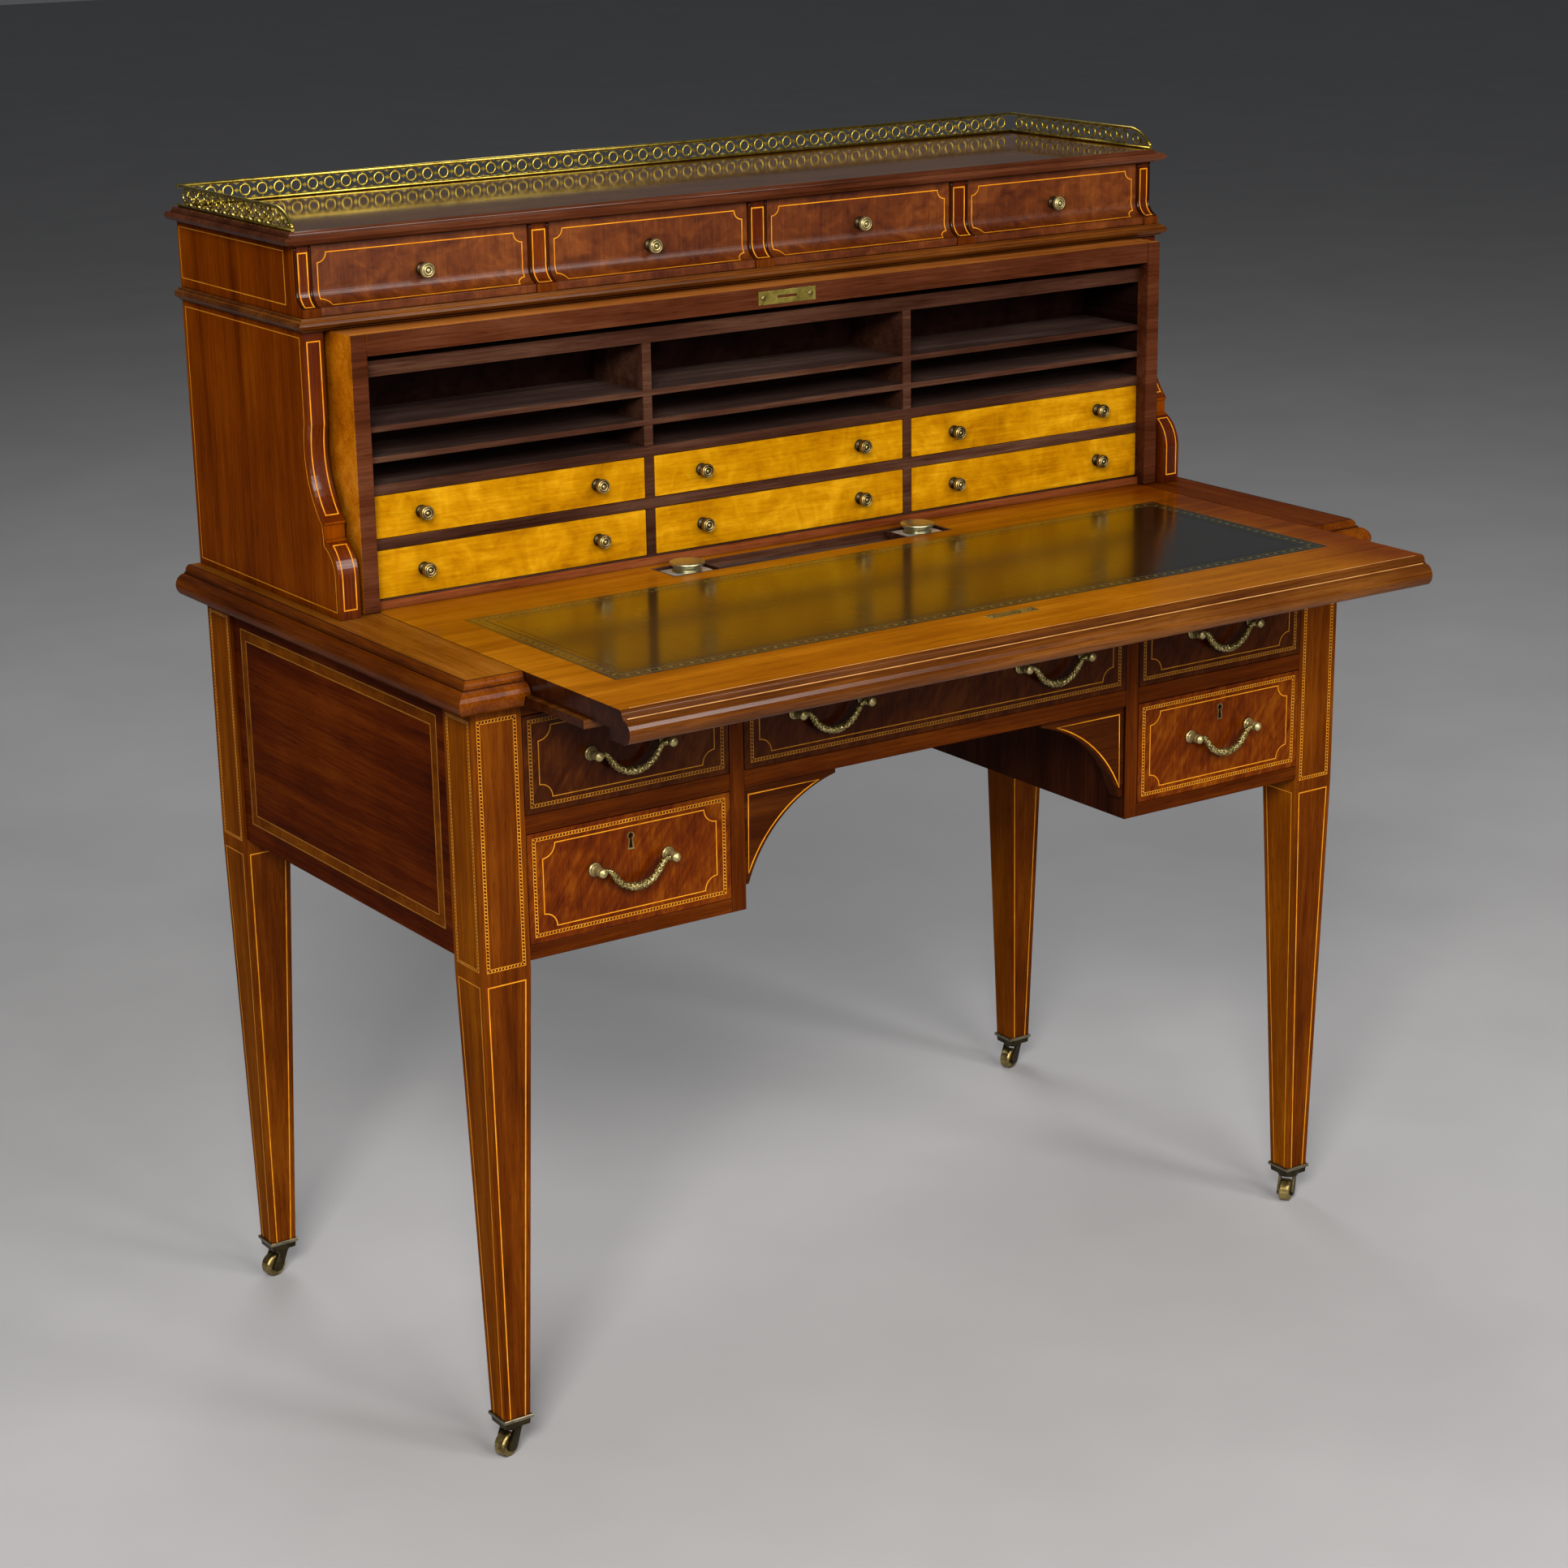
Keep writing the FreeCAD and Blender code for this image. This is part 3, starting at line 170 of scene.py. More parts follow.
def wood(name, tones, grain, figure="plain", lining=None, top=None, side=None, gloss=0.07, top_gloss=None,
         pored=0.6, sheen=0.16, dirt=0.022, top_from=0.0, painted_shade_from=None):
    """Polished wood of three tones, with the axis of its grain and its figure.

    Faces that look up or sideways can have tones of their own, painted light and shade of how the lamps fall
    on them, and so can what lies behind a limit: real oak linings, or painted shade inside a case;
    to the right of a given x, the faces that look up are darker: painted shade where the light falls off."""
    shader = Shader(name, coat_weight=gloss, coat_roughness=sheen, specular_ior_level=0)

    def stretched(across, along):
        scale = [across] * 3
        scale[grain] = along
        return scale

    fibre = shader.noise(stretched(420, 14), 3, 0.6)
    streak = shader.noise(stretched(46, 2.6), 4, 0.6, 0.5)
    cloud = shader.noise((6, 6, 6), 3)
    if figure == "flame":
        lick = shader.noise((190, 190, 26), 3, 0.5, 0.6, -0.6)
        mottle = shader.noise((40, 40, 30), 3, 0.6, 0.9)
        value = shader.sums((lick, 0.24), (mottle, 0.3), (cloud, 0.3), (fibre, 0.16))
    elif figure == "burr":
        knots = shader.noise((46, 46, 60), 4, 0.6, 0.9)
        value = shader.sums((knots, 0.46), (cloud, 0.36), (fibre, 0.18))
    elif figure == "ripple":
        curl = shader.noise((50, 50, 30), 3, 0.55, 1.6, 0.15)
        drift = shader.noise((12, 12, 26), 4, 0.6, 0.8)
        fleck = shader.noise((60, 260, 420), 2, 0.6, 0.8)
        value = shader.sums((curl, 0.2), (drift, 0.5), (fleck, 0.12), (fibre, 0.18))
    else:
        value = shader.sums((streak, 0.45), (cloud, 0.3), (fibre, 0.25))
    spots = (0.36, 0.5, 0.64)
    colour = shader.ramp(value, *zip(spots, tones))
    facing = shader.add("ShaderNodeNewGeometry").outputs["Normal"]
    # Behind a limit: real oak drawer linings, or painted shade inside the case
    if lining:
        limit, dark, light = lining
        plain = shader.noise((46, 2.6, 46), 4, 0.6, 0.5)
        behind = shader.math("GREATER_THAN", shader.part(1), limit)
        colour = shader.mix(behind, colour, shader.ramp(plain, (0.3, dark), (0.7, light)))
    # Side faces take the side tones: painted light where these are lighter, painted shade where darker
    if side:
        sideways = shader.part(0, facing)
        if lining:
            sideways = shader.math("MULTIPLY", sideways, shader.math("SIGN", shader.part(0)))
        else:
            sideways = shader.math("ABSOLUTE", sideways)
        mask = shader.math("GREATER_THAN", sideways, 0.7)
        colour = shader.mix(mask, colour, shader.ramp(value, *zip(spots, side)))
    # Faces that look up take the top tones: painted light from above
    if top:
        upward = shader.math("GREATER_THAN", shader.part(2, facing), 0.9)
        mask = shader.math("MULTIPLY", upward, shader.math("GREATER_THAN", shader.part(2), top_from))
        colour = shader.mix(mask, colour, shader.ramp(value, *zip(spots, top)))
        # Painted shade: the tops grow darker to the right, where the light falls off
        if painted_shade_from:
            share = shader.math("MULTIPLY", shader.level(shader.part(0), 0, 1, painted_shade_from, painted_shade_from + 0.1), mask)
            colour = shader.mix(share, colour, tone(196, 164, 150), "MULTIPLY")
        coat = shader.level(mask, gloss, top_gloss or gloss)
        shader.tree.links.new(coat, shader.surface.inputs["Coat Weight"])
    pores = shader.noise(stretched(1500, 55), 2, 0.5)
    dashes = shader.ramp(pores, (0.3, (140, 112, 90)), (0.42, WHITE))
    colour = shader.mix(pored, colour, dashes, "MULTIPLY")
    # Painted shade: darker in corners, recesses and between parts within a reach, partly standing for old
    # grime
    recess_darkening = shader.ramp(shader.shade(dirt), (0.3, (120, 100, 84)), (0.85, WHITE))
    colour = shader.mix(0.7, colour, recess_darkening, "MULTIPLY")
    scratch = shader.noise(stretched(260, 9), 5, 0.75, 0.6)
    rough = shader.sums((shader.level(cloud, 0.2, 0.36), 1), (shader.level(scratch, 0, 0.14), 1))
    return shader.finish(colour, rough, ((fibre, 0.05, 0.0004), (pores, 0.06, 0.0003)))


def brass(name, bright, dull, rough, reach=0.002, depth=(96, 84, 60), carved=0, metallic=1.0):
    """Stained old brass, of the tone depth in recesses of a reach; carved is cells per metre."""
    shader = Shader(name, metallic=metallic)
    stain = shader.noise((90, 90, 90), 4, 0.65, 0.4)
    speck = shader.noise((700, 700, 700), 2)
    colour = shader.ramp(shader.sums((stain, 0.7), (speck, 0.3)), (0.36, dull), (0.62, bright))
    recess_darkening = shader.ramp(shader.shade(reach), (0.3, depth), (0.9, WHITE))
    colour = shader.mix(1, colour, recess_darkening, "MULTIPLY")
    bumps = ((speck, 0.1, 0.0002),)
    if carved:
        cells = shader.cells(carved)
        leaves = shader.ramp(cells, (0.3, WHITE), (0.66, (104, 92, 56)))
        colour = shader.mix(1, colour, leaves, "MULTIPLY")
        bumps = ((leaves, 0.6, 0.0005),)
    return shader.finish(colour, shader.level(stain, *rough), bumps)


def leather_shader(name, dark, light):
    """Glossy old skiver with a fine grain and worn cloudy patches."""
    shader = Shader(name, coat_weight=1.0, coat_roughness=0.15, coat_ior=1.8, specular_ior_level=0.05)
    cells = shader.cells(850)
    patch = shader.noise((11, 11, 11), 4, 0.6, 0.7)
    scuff = shader.noise((35, 160, 35), 3, 0.6)
    colour = shader.ramp(shader.sums((patch, 0.6), (scuff, 0.25), (cells, 0.15)), (0.3, dark), (0.62, light))
    return shader.finish(colour, shader.level(patch, 0.2, 0.36), ((cells, 0.12, 0.0003), (patch, 0.1, 0.002)))


def plain_shader(name, dark, light, density, rough=(0.3, 0.45), **constants):
    """A mottle of two tones, for lines, glass and the floor; density is changes per metre."""
    shader = Shader(name, **constants)
    fleck = shader.noise([density] * 3, 3, 0.6)
    return shader.finish(shader.ramp(fleck, (0.3, dark), (0.7, light)), shader.level(fleck, *rough))


# Dark, middle and light tone of each kind of wood; a lining starts at a depth in the row frame.
# Tones for faces that look up are lighter, painted light from above, on the writing board partly real
# bleaching; side tones are lighter as painted light or darker as painted shade; the tones of the nest's
# shelves and the inside of the case are painted shade, and those of the shaded top drawers and kneehole
# brackets partly so.
brown = ((44, 18, 5), (66, 30, 7), (90, 45, 11))
upright = ((54, 24, 6), (84, 41, 9), (111, 60, 14))
golden = ((80, 37, 2), (108, 56, 4), (134, 76, 10))
# Painted light: the writing board's top, lit from above, partly real bleaching
bleached_and_lit = ((112, 62, 8), (142, 84, 13), (168, 106, 24))
moulded = ((54, 27, 8), (82, 46, 16), (110, 68, 28))
capped = ((94, 50, 13), (119, 69, 20), (143, 90, 33))
deep = ((46, 17, 3), (72, 29, 4), (96, 44, 8))
dim = ((30, 13, 6), (46, 22, 11), (64, 33, 16))
orange = ((78, 33, 2), (106, 49, 3), (130, 66, 6))
framing = ((48, 24, 14), (70, 38, 24), (90, 54, 37))
roofed = ((56, 30, 8), (82, 48, 14), (108, 68, 24))
lit = ((126, 66, 8), (166, 94, 14), (196, 124, 32))
lit_ledge = ((126, 70, 26), (158, 96, 44), (182, 118, 60))
crested = ((96, 50, 14), (124, 72, 28), (148, 94, 44))
shadowed = ((40, 23, 17), (62, 40, 31), (84, 60, 47))
# Painted sheen: the grey of the nest's shelf tops as they reflect the light
grey_sheen = ((42, 31, 28), (62, 48, 44), (84, 68, 62))
# Painted shade: near black inside the case
inside_shade = ((22, 13, 11), (36, 23, 20))
satin = ((128, 79, 4), (159, 108, 9), (188, 137, 23))
burr = ((58, 25, 9), (84, 42, 16), (110, 60, 24))
flame = ((50, 16, 3), (84, 37, 7), (116, 62, 12))
shaded = ((36, 15, 5), (54, 26, 9), (74, 39, 14))
oak = ((92, 62, 34), (136, 98, 58))
flame_lining = (FRONT + 18.2 * MM,) + oak
satin_lining = (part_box("nest_drawer_low_left")[0][1] + 21.2 * MM,) + oak
frieze_lining = (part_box("frieze_drawer_1")[0][1] + 32.6 * MM,) + oak
# Painted shade: the inside of the case, behind its front, is near black
case_inside_shade = (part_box("nest_case")[0][1] + 15 * MM,) + inside_shade
board_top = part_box("writing_board")[1][2] - 0.5 * MM

mahogany_gloss = wood("mahogany_gloss", deep, 2, gloss=0.6, sheen=0.24)
# A reddish sill below the small drawers, partly a painted highlight
sill_wood = wood("sill_wood", ((90, 44, 22), (116, 64, 36), (138, 84, 50)), 0)
# Dark beads along the frieze strips: their dark tone is a painted shadow beside the strips
bead_wood = wood("bead_wood", dim, 2, gloss=0.3)
burr_wood = wood("burr_wood", burr, 2, "burr", frieze_lining, gloss=0.55, sheen=0.34)
cross_wood = wood("cross_wood", ((72, 33, 4), (96, 50, 8), (120, 69, 14)), 0, "ripple")
string_wood = plain_shader("string_wood", (178, 104, 16), (208, 138, 34), 60, specular_ior_level=0.1)
# Dimmer strings: painted shade on the drawers under the writing board, and the duller strings of the side
# panels
dull_string = plain_shader("dull_string", (128, 80, 18), (156, 104, 30), 60, specular_ior_level=0.1)
# Light lines on the writing board's moulding: painted highlights on its fillets, partly wear
worn_edge = plain_shader("worn_edge", (150, 98, 46), (196, 144, 86), 30)
ebony = plain_shader("ebony", (34, 15, 5), (56, 26, 8), 90, specular_ior_level=0.1)
tooling = plain_shader("tooling", (8, 8, 3), (18, 16, 5), 200, (0.35, 0.5))
gilt = plain_shader("gilt", (60, 52, 16), (104, 92, 34), 200, (0.35, 0.5))
old_brass = brass("old_brass", (190, 174, 122), (136, 122, 76), (0.3, 0.46), depth=(70, 60, 34),
                  metallic=0.75)
cast_brass = brass("cast_brass", (214, 198, 136), (158, 142, 86), (0.24, 0.4), depth=(84, 72, 40), carved=800,
                   metallic=0.85)
lid_brass = brass("lid_brass", (202, 198, 160), (162, 156, 118), (0.32, 0.46), 0.006)
gallery_brass = brass("gallery_brass", (190, 168, 78), (140, 118, 44), (0.26, 0.4), 0.001)
knob_brass = brass("knob_brass", (176, 156, 104), (104, 88, 52), (0.25, 0.5), depth=(60, 48, 28))
bronze = brass("bronze", (78, 70, 52), (44, 38, 26), (0.3, 0.6), 0.004)
rim_bronze = brass("rim_bronze", (150, 140, 116), (104, 96, 76), (0.3, 0.5), 0.004)

node_materials = {
    # Side and top tones in these entries are painted light where lighter and painted shade where darker
    wood("mahogany_across", brown, 0): ("front_rails",),
    wood("mahogany_upright", upright, 2, side=golden): ("legs",),
    # Painted shade on the pedestals' inner faces toward the kneehole
    wood("mahogany_stile", brown, 2, side=dim): ("pedestal_sides",),
    wood("mahogany_curved", shaded, 0): ("kneehole_brackets",),
    wood("mahogany_side", orange, 2): ("cabinet_sides",),
    wood("mahogany_frame", burr, 2, side=orange): ("frieze_case",),
    # Painted light on the board's top, partly real bleaching; painted shade on its side edges and towards its
    # right
    wood("mahogany_top", moulded, 0, top=bleached_and_lit, side=dim, gloss=0.4, top_gloss=0.35, sheen=0.2,
         top_from=board_top, painted_shade_from=0.34): ("writing_board",),
    # Painted light on the fixed top's upper faces, painted shade towards its right
    wood("mahogany_deep", upright, 1, top=capped, gloss=0.25, top_gloss=0.2, sheen=0.2,
         top_from=board_top, painted_shade_from=0.34): ("fixed_top",),
    wood("mahogany_cornice", framing, 0, top=roofed, gloss=0.3, top_gloss=1, sheen=0.08): ("cornice",),
    wood("mahogany_shelf", moulded, 0, top=crested, gloss=0.4, sheen=0.2): ("middle_moulding",),
    wood("mahogany_panel", deep, 1): ("side_panels",),
    wood("case_wood", framing, 0, lining=case_inside_shade, side=lit, top=lit_ledge): ("nest_case",),
    # Painted shade: the nest's shelves and pen tray are shadowed dark, their tops a painted grey sheen
    wood("dark_wood", shadowed, 0, top=grey_sheen, top_gloss=0.3, dirt=0.03): ("nest_shelves", "pen_tray"),
    wood("lining_wood", ((70, 42, 20), (98, 64, 34), (124, 86, 50)), 0):
        ("back_panels", "dust_boards", "slide_bearers", "cabinet_back"),
    wood("flame_wood", flame, 2, "flame", flame_lining, gloss=0.12):
        ("drawer_bottom_left", "drawer_bottom_right"),
    wood("shaded_wood", shaded, 2, "flame", flame_lining, gloss=0.12):
        ("drawer_top_left", "drawer_top_right", "drawer_centre"),
    burr_wood: FRIEZE_DRAWERS,
    wood("satin_wood", satin, 0, "ripple", satin_lining, gloss=0.08, pored=0.15): NEST_DRAWERS,
    brass("plate_brass", (206, 186, 96), (160, 140, 62), (0.25, 0.4)): ("lock_plates",),
    bronze: tuple("castor_fork_" + corner for corner in CORNERS),
    brass("wheel_brass", (176, 156, 100), (84, 68, 40), (0.3, 0.5), 0.004, (60, 48, 28)):
        tuple("castor_wheel_" + corner for corner in CORNERS),
    leather_shader("green_leather", (10, 13, 3), (23, 24, 5)): ("leather_inset",),
    plain_shader("bottle_glass", (196, 196, 184), (226, 228, 220), 40, (0.05, 0.16),
                 transmission_weight=0.55): ("ink_bottles",),
}

# Rounding of the solids' edges; the moulded nodes are rounded between the chords of their curves too
moulded_nodes = ("cabinet_sides", "cornice", "fixed_top", "frieze_case", "middle_moulding", "writing_board",
                 "kneehole_brackets")
small_nodes = ("castor", "lock", "inkwell")
weld_distance = 0.00001
edge_width, small_edge_width = 0.0007, 0.0003
sharp_angle, chord_angle = radians(35), radians(9)


def dress_nodes():
    """Gives the CAD nodes their materials and softens their edges."""
    for material, names in node_materials.items():
        for name in names:
            piece = NODES[name]
            for place in piece.material_slots:
                place.material = material
            if name == "leather_inset":
                continue
            weld = piece.modifiers.new("weld", "WELD")
            weld.merge_threshold = weld_distance
            bevel = piece.modifiers.new("bevel", "BEVEL")
            bevel.width = small_edge_width if name.startswith(small_nodes) else edge_width
            bevel.segments = 2
            bevel.limit_method = "ANGLE"
            bevel.angle_limit = chord_angle if name in moulded_nodes else sharp_angle
            bevel.harden_normals = True


# Mesh building
def linked(name, data):
    """A new object of the scene."""
    piece = bpy.data.objects.new(name, data)
    SCENE.collection.objects.link(piece)
    return piece


class Piece:
    """Collects faces for one object of the scene."""

    def __init__(self):
        self.mesh = bmesh.new()

    def skin(self, rings, loop=False, index=0, smooth=True):
        """Joins rings of points into a closed skin."""
        rows = [[self.mesh.verts.new(point) for point in ring] for ring in rings]
        outlines = [(low[i - 1], low[i], high[i], high[i - 1])
                    for low, high in zip(rows, rows[1:] + (rows[:1] if loop else []))
                    for i in range(len(low))]
        if not loop:
            outlines += [rows[0], rows[-1]]
        for outline in outlines:
            face = self.mesh.faces.new(outline)
            face.material_index = index
            face.smooth = smooth and len(face.verts) == 4

    def done(self, name, body, materials, replaced=()):
        """Makes the object, on its body, with its finish."""
        bmesh.ops.recalc_face_normals(self.mesh, faces=self.mesh.faces)
        data = bpy.data.meshes.new(name)
        self.mesh.to_mesh(data)
        self.mesh.free()
        for material in materials:
            data.materials.append(material)
        piece = linked(name, data)
        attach(piece, body)
        if replaced:
            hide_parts(*replaced)


square = ((-1, -1), (1, -1), (1, 1), (-1, 1))


def arc(start, middle, end, steps):
    """Points along the circle through three points of a plane."""
    a, b, c = (complex(*point) for point in (start, middle, end))
    bend = (c - a) / (b - a)
    centre = a + (b - a) * (bend - abs(bend) ** 2) / (2j * bend.imag)
    turn = phase((c - centre) / (a - centre)) % (2 * pi)
    if bend.imag < 0:
        turn -= 2 * pi
    points = [centre + (a - centre) * rect(1, turn * step / steps) for step in range(steps + 1)]
    return [Vector((point.real, point.imag)) for point in points]


def rectangle(x0, x1, z0, z1):
    return [Vector(corner) for corner in ((x0, z0), (x1, z0), (x1, z1), (x0, z1))]


def notched(x0, x1, z0, z1, radius):
    """A rectangle whose corners are cut by hollow quarter circles."""
    steps = 7
    path = []
    for corner, first in zip(rectangle(x0, x1, z0, z1), (90, 180, 270, 0)):
        for step in range(steps + 1):
            angle = radians(first - 90 * step / steps)
            path.append(corner + radius * Vector((cos(angle), sin(angle))))
    return path


def mitres(path, closed):
    """For each point of a path, the sideways direction that keeps a band even in width."""
    runs = [(after - point).normalized() for point, after in zip(path, path[1:] + path[:1])]
    if not closed:
        runs[-1] = runs[-2]
    before = (runs[-1:] if closed else runs[:1]) + runs[:-1]
    return [(into.orthogonal() + out.orthogonal()) / max(1 + into.dot(out), 0.3)
            for into, out in zip(before, runs)]


def shifted(path, distance):
    """A closed path moved sideways by a distance."""
    return [point + side * distance for point, side in zip(path, mitres(path, True))]


def ribbon(piece, path, width, put, closed=True, index=0, lift=0.12):
    """A thin inlaid band along a path; put(u, v, height) places it on its surface."""
    section = ((-0.5, -0.3), (-0.5, lift), (0.5, lift), (0.5, -0.3))
    rings = [[put(*(point + side * (width * share)), height) for share, height in section]
             for point, side in zip(path, mitres(path, closed))]
    piece.skin(rings, loop=closed, index=index, smooth=False)


def chequer(piece, path, put, width=3.4):
    """A chequered band: dark ground, two fine light lines and light slanted dashes."""
    pitch = 3.3
    half_dash, half_length, slant = 0.55, 0.85, 0.4
    ribbon(piece, path, width, put, index=1, lift=0.06)
    for share in (-0.43, 0.43):
        ribbon(piece, shifted(path, width * share), 0.5, put)
    for start, end in zip(path, path[1:] + path[:1]):
        run = end - start
        along = run.normalized()
        across = along.orthogonal()
        count = int(run.length / pitch)
        for number in range(count):
            middle = start + along * (number * run.length / count)
            base = [middle + along * (a * half_dash + b * slant) + across * (b * half_length)
                    for a, b in square]
            piece.skin([[put(p.x, p.y, height) for p in base] for height in (-0.2, 0.12)], smooth=False)


def top_at(level):
    """Places (x, y) on a level plane that faces up."""
    return lambda x, y, height: at(x, y, level + height)


def front_at(depth):
    """Places (x, z) on an upright plane that faces forward."""
    return lambda x, z, height: at(x, depth - height, z)


def side_at(reach):
    """Places (y, z) on an upright plane that faces out to one side."""
    sign = 1 if reach > 0 else -1
    return lambda y, z, height: at(reach + sign * height, y, z)


class Profile:
    """A moulded front: points (y, z) from the top down, and places along it."""

    def __init__(self, points):
        self.points = [Vector(point) for point in points]
        self.reach = [0]
        for low, high in zip(self.points, self.points[1:]):
            self.reach.append(self.reach[-1] + (high - low).length)
        self.length = self.reach[-1]

    def put(self, x, distance, height):
        """The place at x, a distance down the profile, standing proud by a height."""
        for i in range(len(self.points) - 1):
            if distance <= self.reach[i + 1] or i == len(self.points) - 2:
                break
        start, end = self.points[i], self.points[i + 1]
        along = (end - start).normalized()
        spot = start + along * (distance - self.reach[i]) + Vector((along.y, -along.x)) * height
        return at(x, spot.x, spot.y)


def follow(profile, path, step=2.0):
    """A closed path of (x, distance) with extra points, so that it bends with a profile."""
    full = []
    for start, end in zip(path, path[1:] + path[:1]):
        count = max(1, int(abs(end.y - start.y) / step))
        full += [start.lerp(end, number / count) for number in range(count)]
    return full


def around(sides):
    """Evenly spaced angles round a circle."""
    return [2 * pi * side / sides for side in range(sides)]


def turned(piece, profile, base, axis, sides=24, index=0, flute=None):
    """A turned piece: (radius, distance along the axis) pairs spun about it."""
    spin = axis.to_track_quat("Z", "Y")
    rings = []
    for radius, along in profile:
        ring = []
        for angle in around(sides):
            grown = radius + (flute(along, angle) if flute else 0)
            ring.append(base + spin @ Vector((grown * cos(angle), grown * sin(angle), along)) * MM)
        rings.append(ring)
    piece.skin(rings, index=index)


# Inlay of the lower part
leg_low, leg_high = span("legs")
half_width = leg_high.x
leg_width = 50
foot_width = 26.5
foot_setback = 8
foot_height = leg_low.z
knee_height = span("pedestal_sides")[0].z - 9
line_width = 1.15
fine_width = line_width * 0.8
leg_string_inset = 5.5
leg_side_inset = 6.5
leg_front_inset = 6.7
leg_panel = (knee_height + 7.6, leg_high.z - 12.1)
band_width = 10
border_gap = 8.5
fillet_reach = 10.05
fillet_drop = 7.6
edge_reach = 15.6


def leg_share(z):
    """How far down the taper a height lies, from 0 at the knee to 1 at the foot."""
    return max(0, (knee_height - z) / (knee_height - foot_height))


def leg_edges(z, sign):
    """Outer and inner edge of a leg at a height."""
    share = leg_share(z)
    inner = half_width - leg_width + share * (leg_width - foot_setback - foot_width)
    return sign * (half_width - foot_setback * share), sign * inner


def leg_string(sign):
    """A string up one edge of a tapered leg face, across its top and down the other edge."""
    top, bottom = knee_height - 8, foot_height + 5
    path = []
    for z, order in ((bottom, (0,)), (top, (0, 1)), (bottom, (1,))):
        edges = leg_edges(z, sign)
        path += [Vector((edges[i] + (-sign, sign)[i] * leg_string_inset, z)) for i in order]
    return path


def leg_inlay():
    piece = Piece()
    depth = leg_high.y
    for sign in (-1, 1):
        string = leg_string(sign)

        def outer_face(y, z, height):
            return at(sign * (half_width - foot_setback * leg_share(z) + height), y, z)

        def inner_face(y, z, height):
            return at(leg_edges(z, sign)[1] - sign * height, y, z)
        for rear in (False, True):
            start = depth if rear else 0
            turn = -1 if rear else 1

            def front_face(x, z, height):
                edge, inner = (side * sign for side in leg_edges(z, sign))
                y = depth - (half_width - inner) if rear else half_width - edge
                return at(x, y - height, z)
            across = [Vector((start + turn * (half_width - sign * p.x), p.y)) for p in string]
            ribbon(piece, string, line_width, front_face, closed=False)
            ribbon(piece, across, fine_width, outer_face, closed=False)
            if not rear:
                ribbon(piece, across, fine_width, inner_face, closed=False)
            sides = sorted(start + turn * y for y in (leg_side_inset, leg_width - leg_side_inset))
            chequer(piece, rectangle(*sides, *leg_panel), outer_face, 2.6)
            if not rear:
                edges = sorted(sign * (half_width - x)
                               for x in (leg_front_inset, leg_width - leg_front_inset))
                chequer(piece, rectangle(*edges, *leg_panel), front_face)
    piece.done("leg_inlay", "carcass", (string_wood, ebony))


def side_panel_inlay():
    """Cross-banded border between two strings on each side panel."""
    piece = Piece()
    low, high = span("side_panels")
    band = rectangle(low.y + 25, high.y - 22, low.z + 26, high.z - 25)
    for sign in (-1, 1):
        put = side_at(sign * high.x)
        ribbon(piece, band, band_width, put, index=1, lift=0.05)
        for distance in (-5.2, 5.2):
            ribbon(piece, shifted(band, distance), 1.1, put)
    piece.done("side_panel_inlay", "carcass", (dull_string, cross_wood))


def bracket_inlay():
    """A string along the curve and the top of each kneehole bracket."""
    piece = Piece()
    low, high = span("kneehole_brackets")
    outer, top = high.x, high.z - 8
    for sign in (-1, 1):
        curve = arc((outer - 5, low.z + 11), (outer - 35, high.z - 40), (outer - 86, top), 12)
        path = [Vector((sign * p.x, p.y)) for p in curve] + [Vector((sign * (outer - 6), top))]
        ribbon(piece, path, line_width, front_at(low.y))
    piece.done("bracket_inlay", "carcass", (string_wood,))


def drawer_inlay(name):
    """Chequered border and notched string of a lower drawer front."""
    piece = Piece()
    low, high = span("drawer_" + name)
    inset = 8.5 if name == "centre" else 7
    x0, x1, z0, z1 = low.x + inset, high.x - inset, low.z + 7.2, high.z - 6
    chequer(piece, rectangle(x0, x1, z0, z1), front_at(0))
    string = notched(x0 + border_gap, x1 - border_gap, z0 + 5.8, z1 - 5.8, 13)
    ribbon(piece, string, fine_width, front_at(0))
    # Painted shade: the strings of the drawers under the writing board are dimmer
    light = string_wood if name.startswith("bottom") else dull_string
    piece.done("drawer_%s_inlay" % name, "drawer_" + name, (light, ebony))


def arrises(node, body, inner, finish, width):
    """Fine lines on the fillet and the upper edge of a moulding, light ones a painted highlight and partly
    wear, dark ones a painted shadow; inner is where its front run ends.
    """
    piece = Piece()
    low, high = span(node)
    for reach, offset in ((fillet_reach, lambda across, height: (-height, across - fillet_drop)),
                          (edge_reach, lambda across, height: (across, height))):
        corner = high.x - reach
        for sign in (-1, 1):
            def front(x, across, height):
                back, up = offset(across, height)
                return at(sign * x, low.y + reach + back, high.z + up)

            def side(y, across, height):
                back, up = offset(across, height)
                return at(sign * (corner - back), y, high.z + up)
            ribbon(piece, [Vector((inner, 0)), Vector((corner, 0))], width, front, closed=False, lift=0.2)
            if inner:
                run = [Vector((low.y + reach, 0)), Vector((high.y - 1, 0))]
                ribbon(piece, run, width, side, closed=False, lift=0.2)
    piece.done(node + "_arrises", body, (finish,))


# Inlay of the cabinet and the frieze
cabinet_low, cabinet_high = span("cabinet_sides")
frieze_low, frieze_high = span("frieze_case")
side_width = 21
sweep_face, sweep_top = 292.5, 935
sweep_middle = (286.06, 871.81)
impost_face, impost_top = 268.5, 848
foot_start, foot_middle, foot_end = (266.5, 830), (252.5, 817), (247, 795)
frieze_face = 304
frieze_strip_proud = 1.5
plinth_reach, plinth_top = 13, 1041
hollow_top = 1060
hollow_middle = (3.38, 1046.7)
skin_gap = 0.2
raised = 0.48


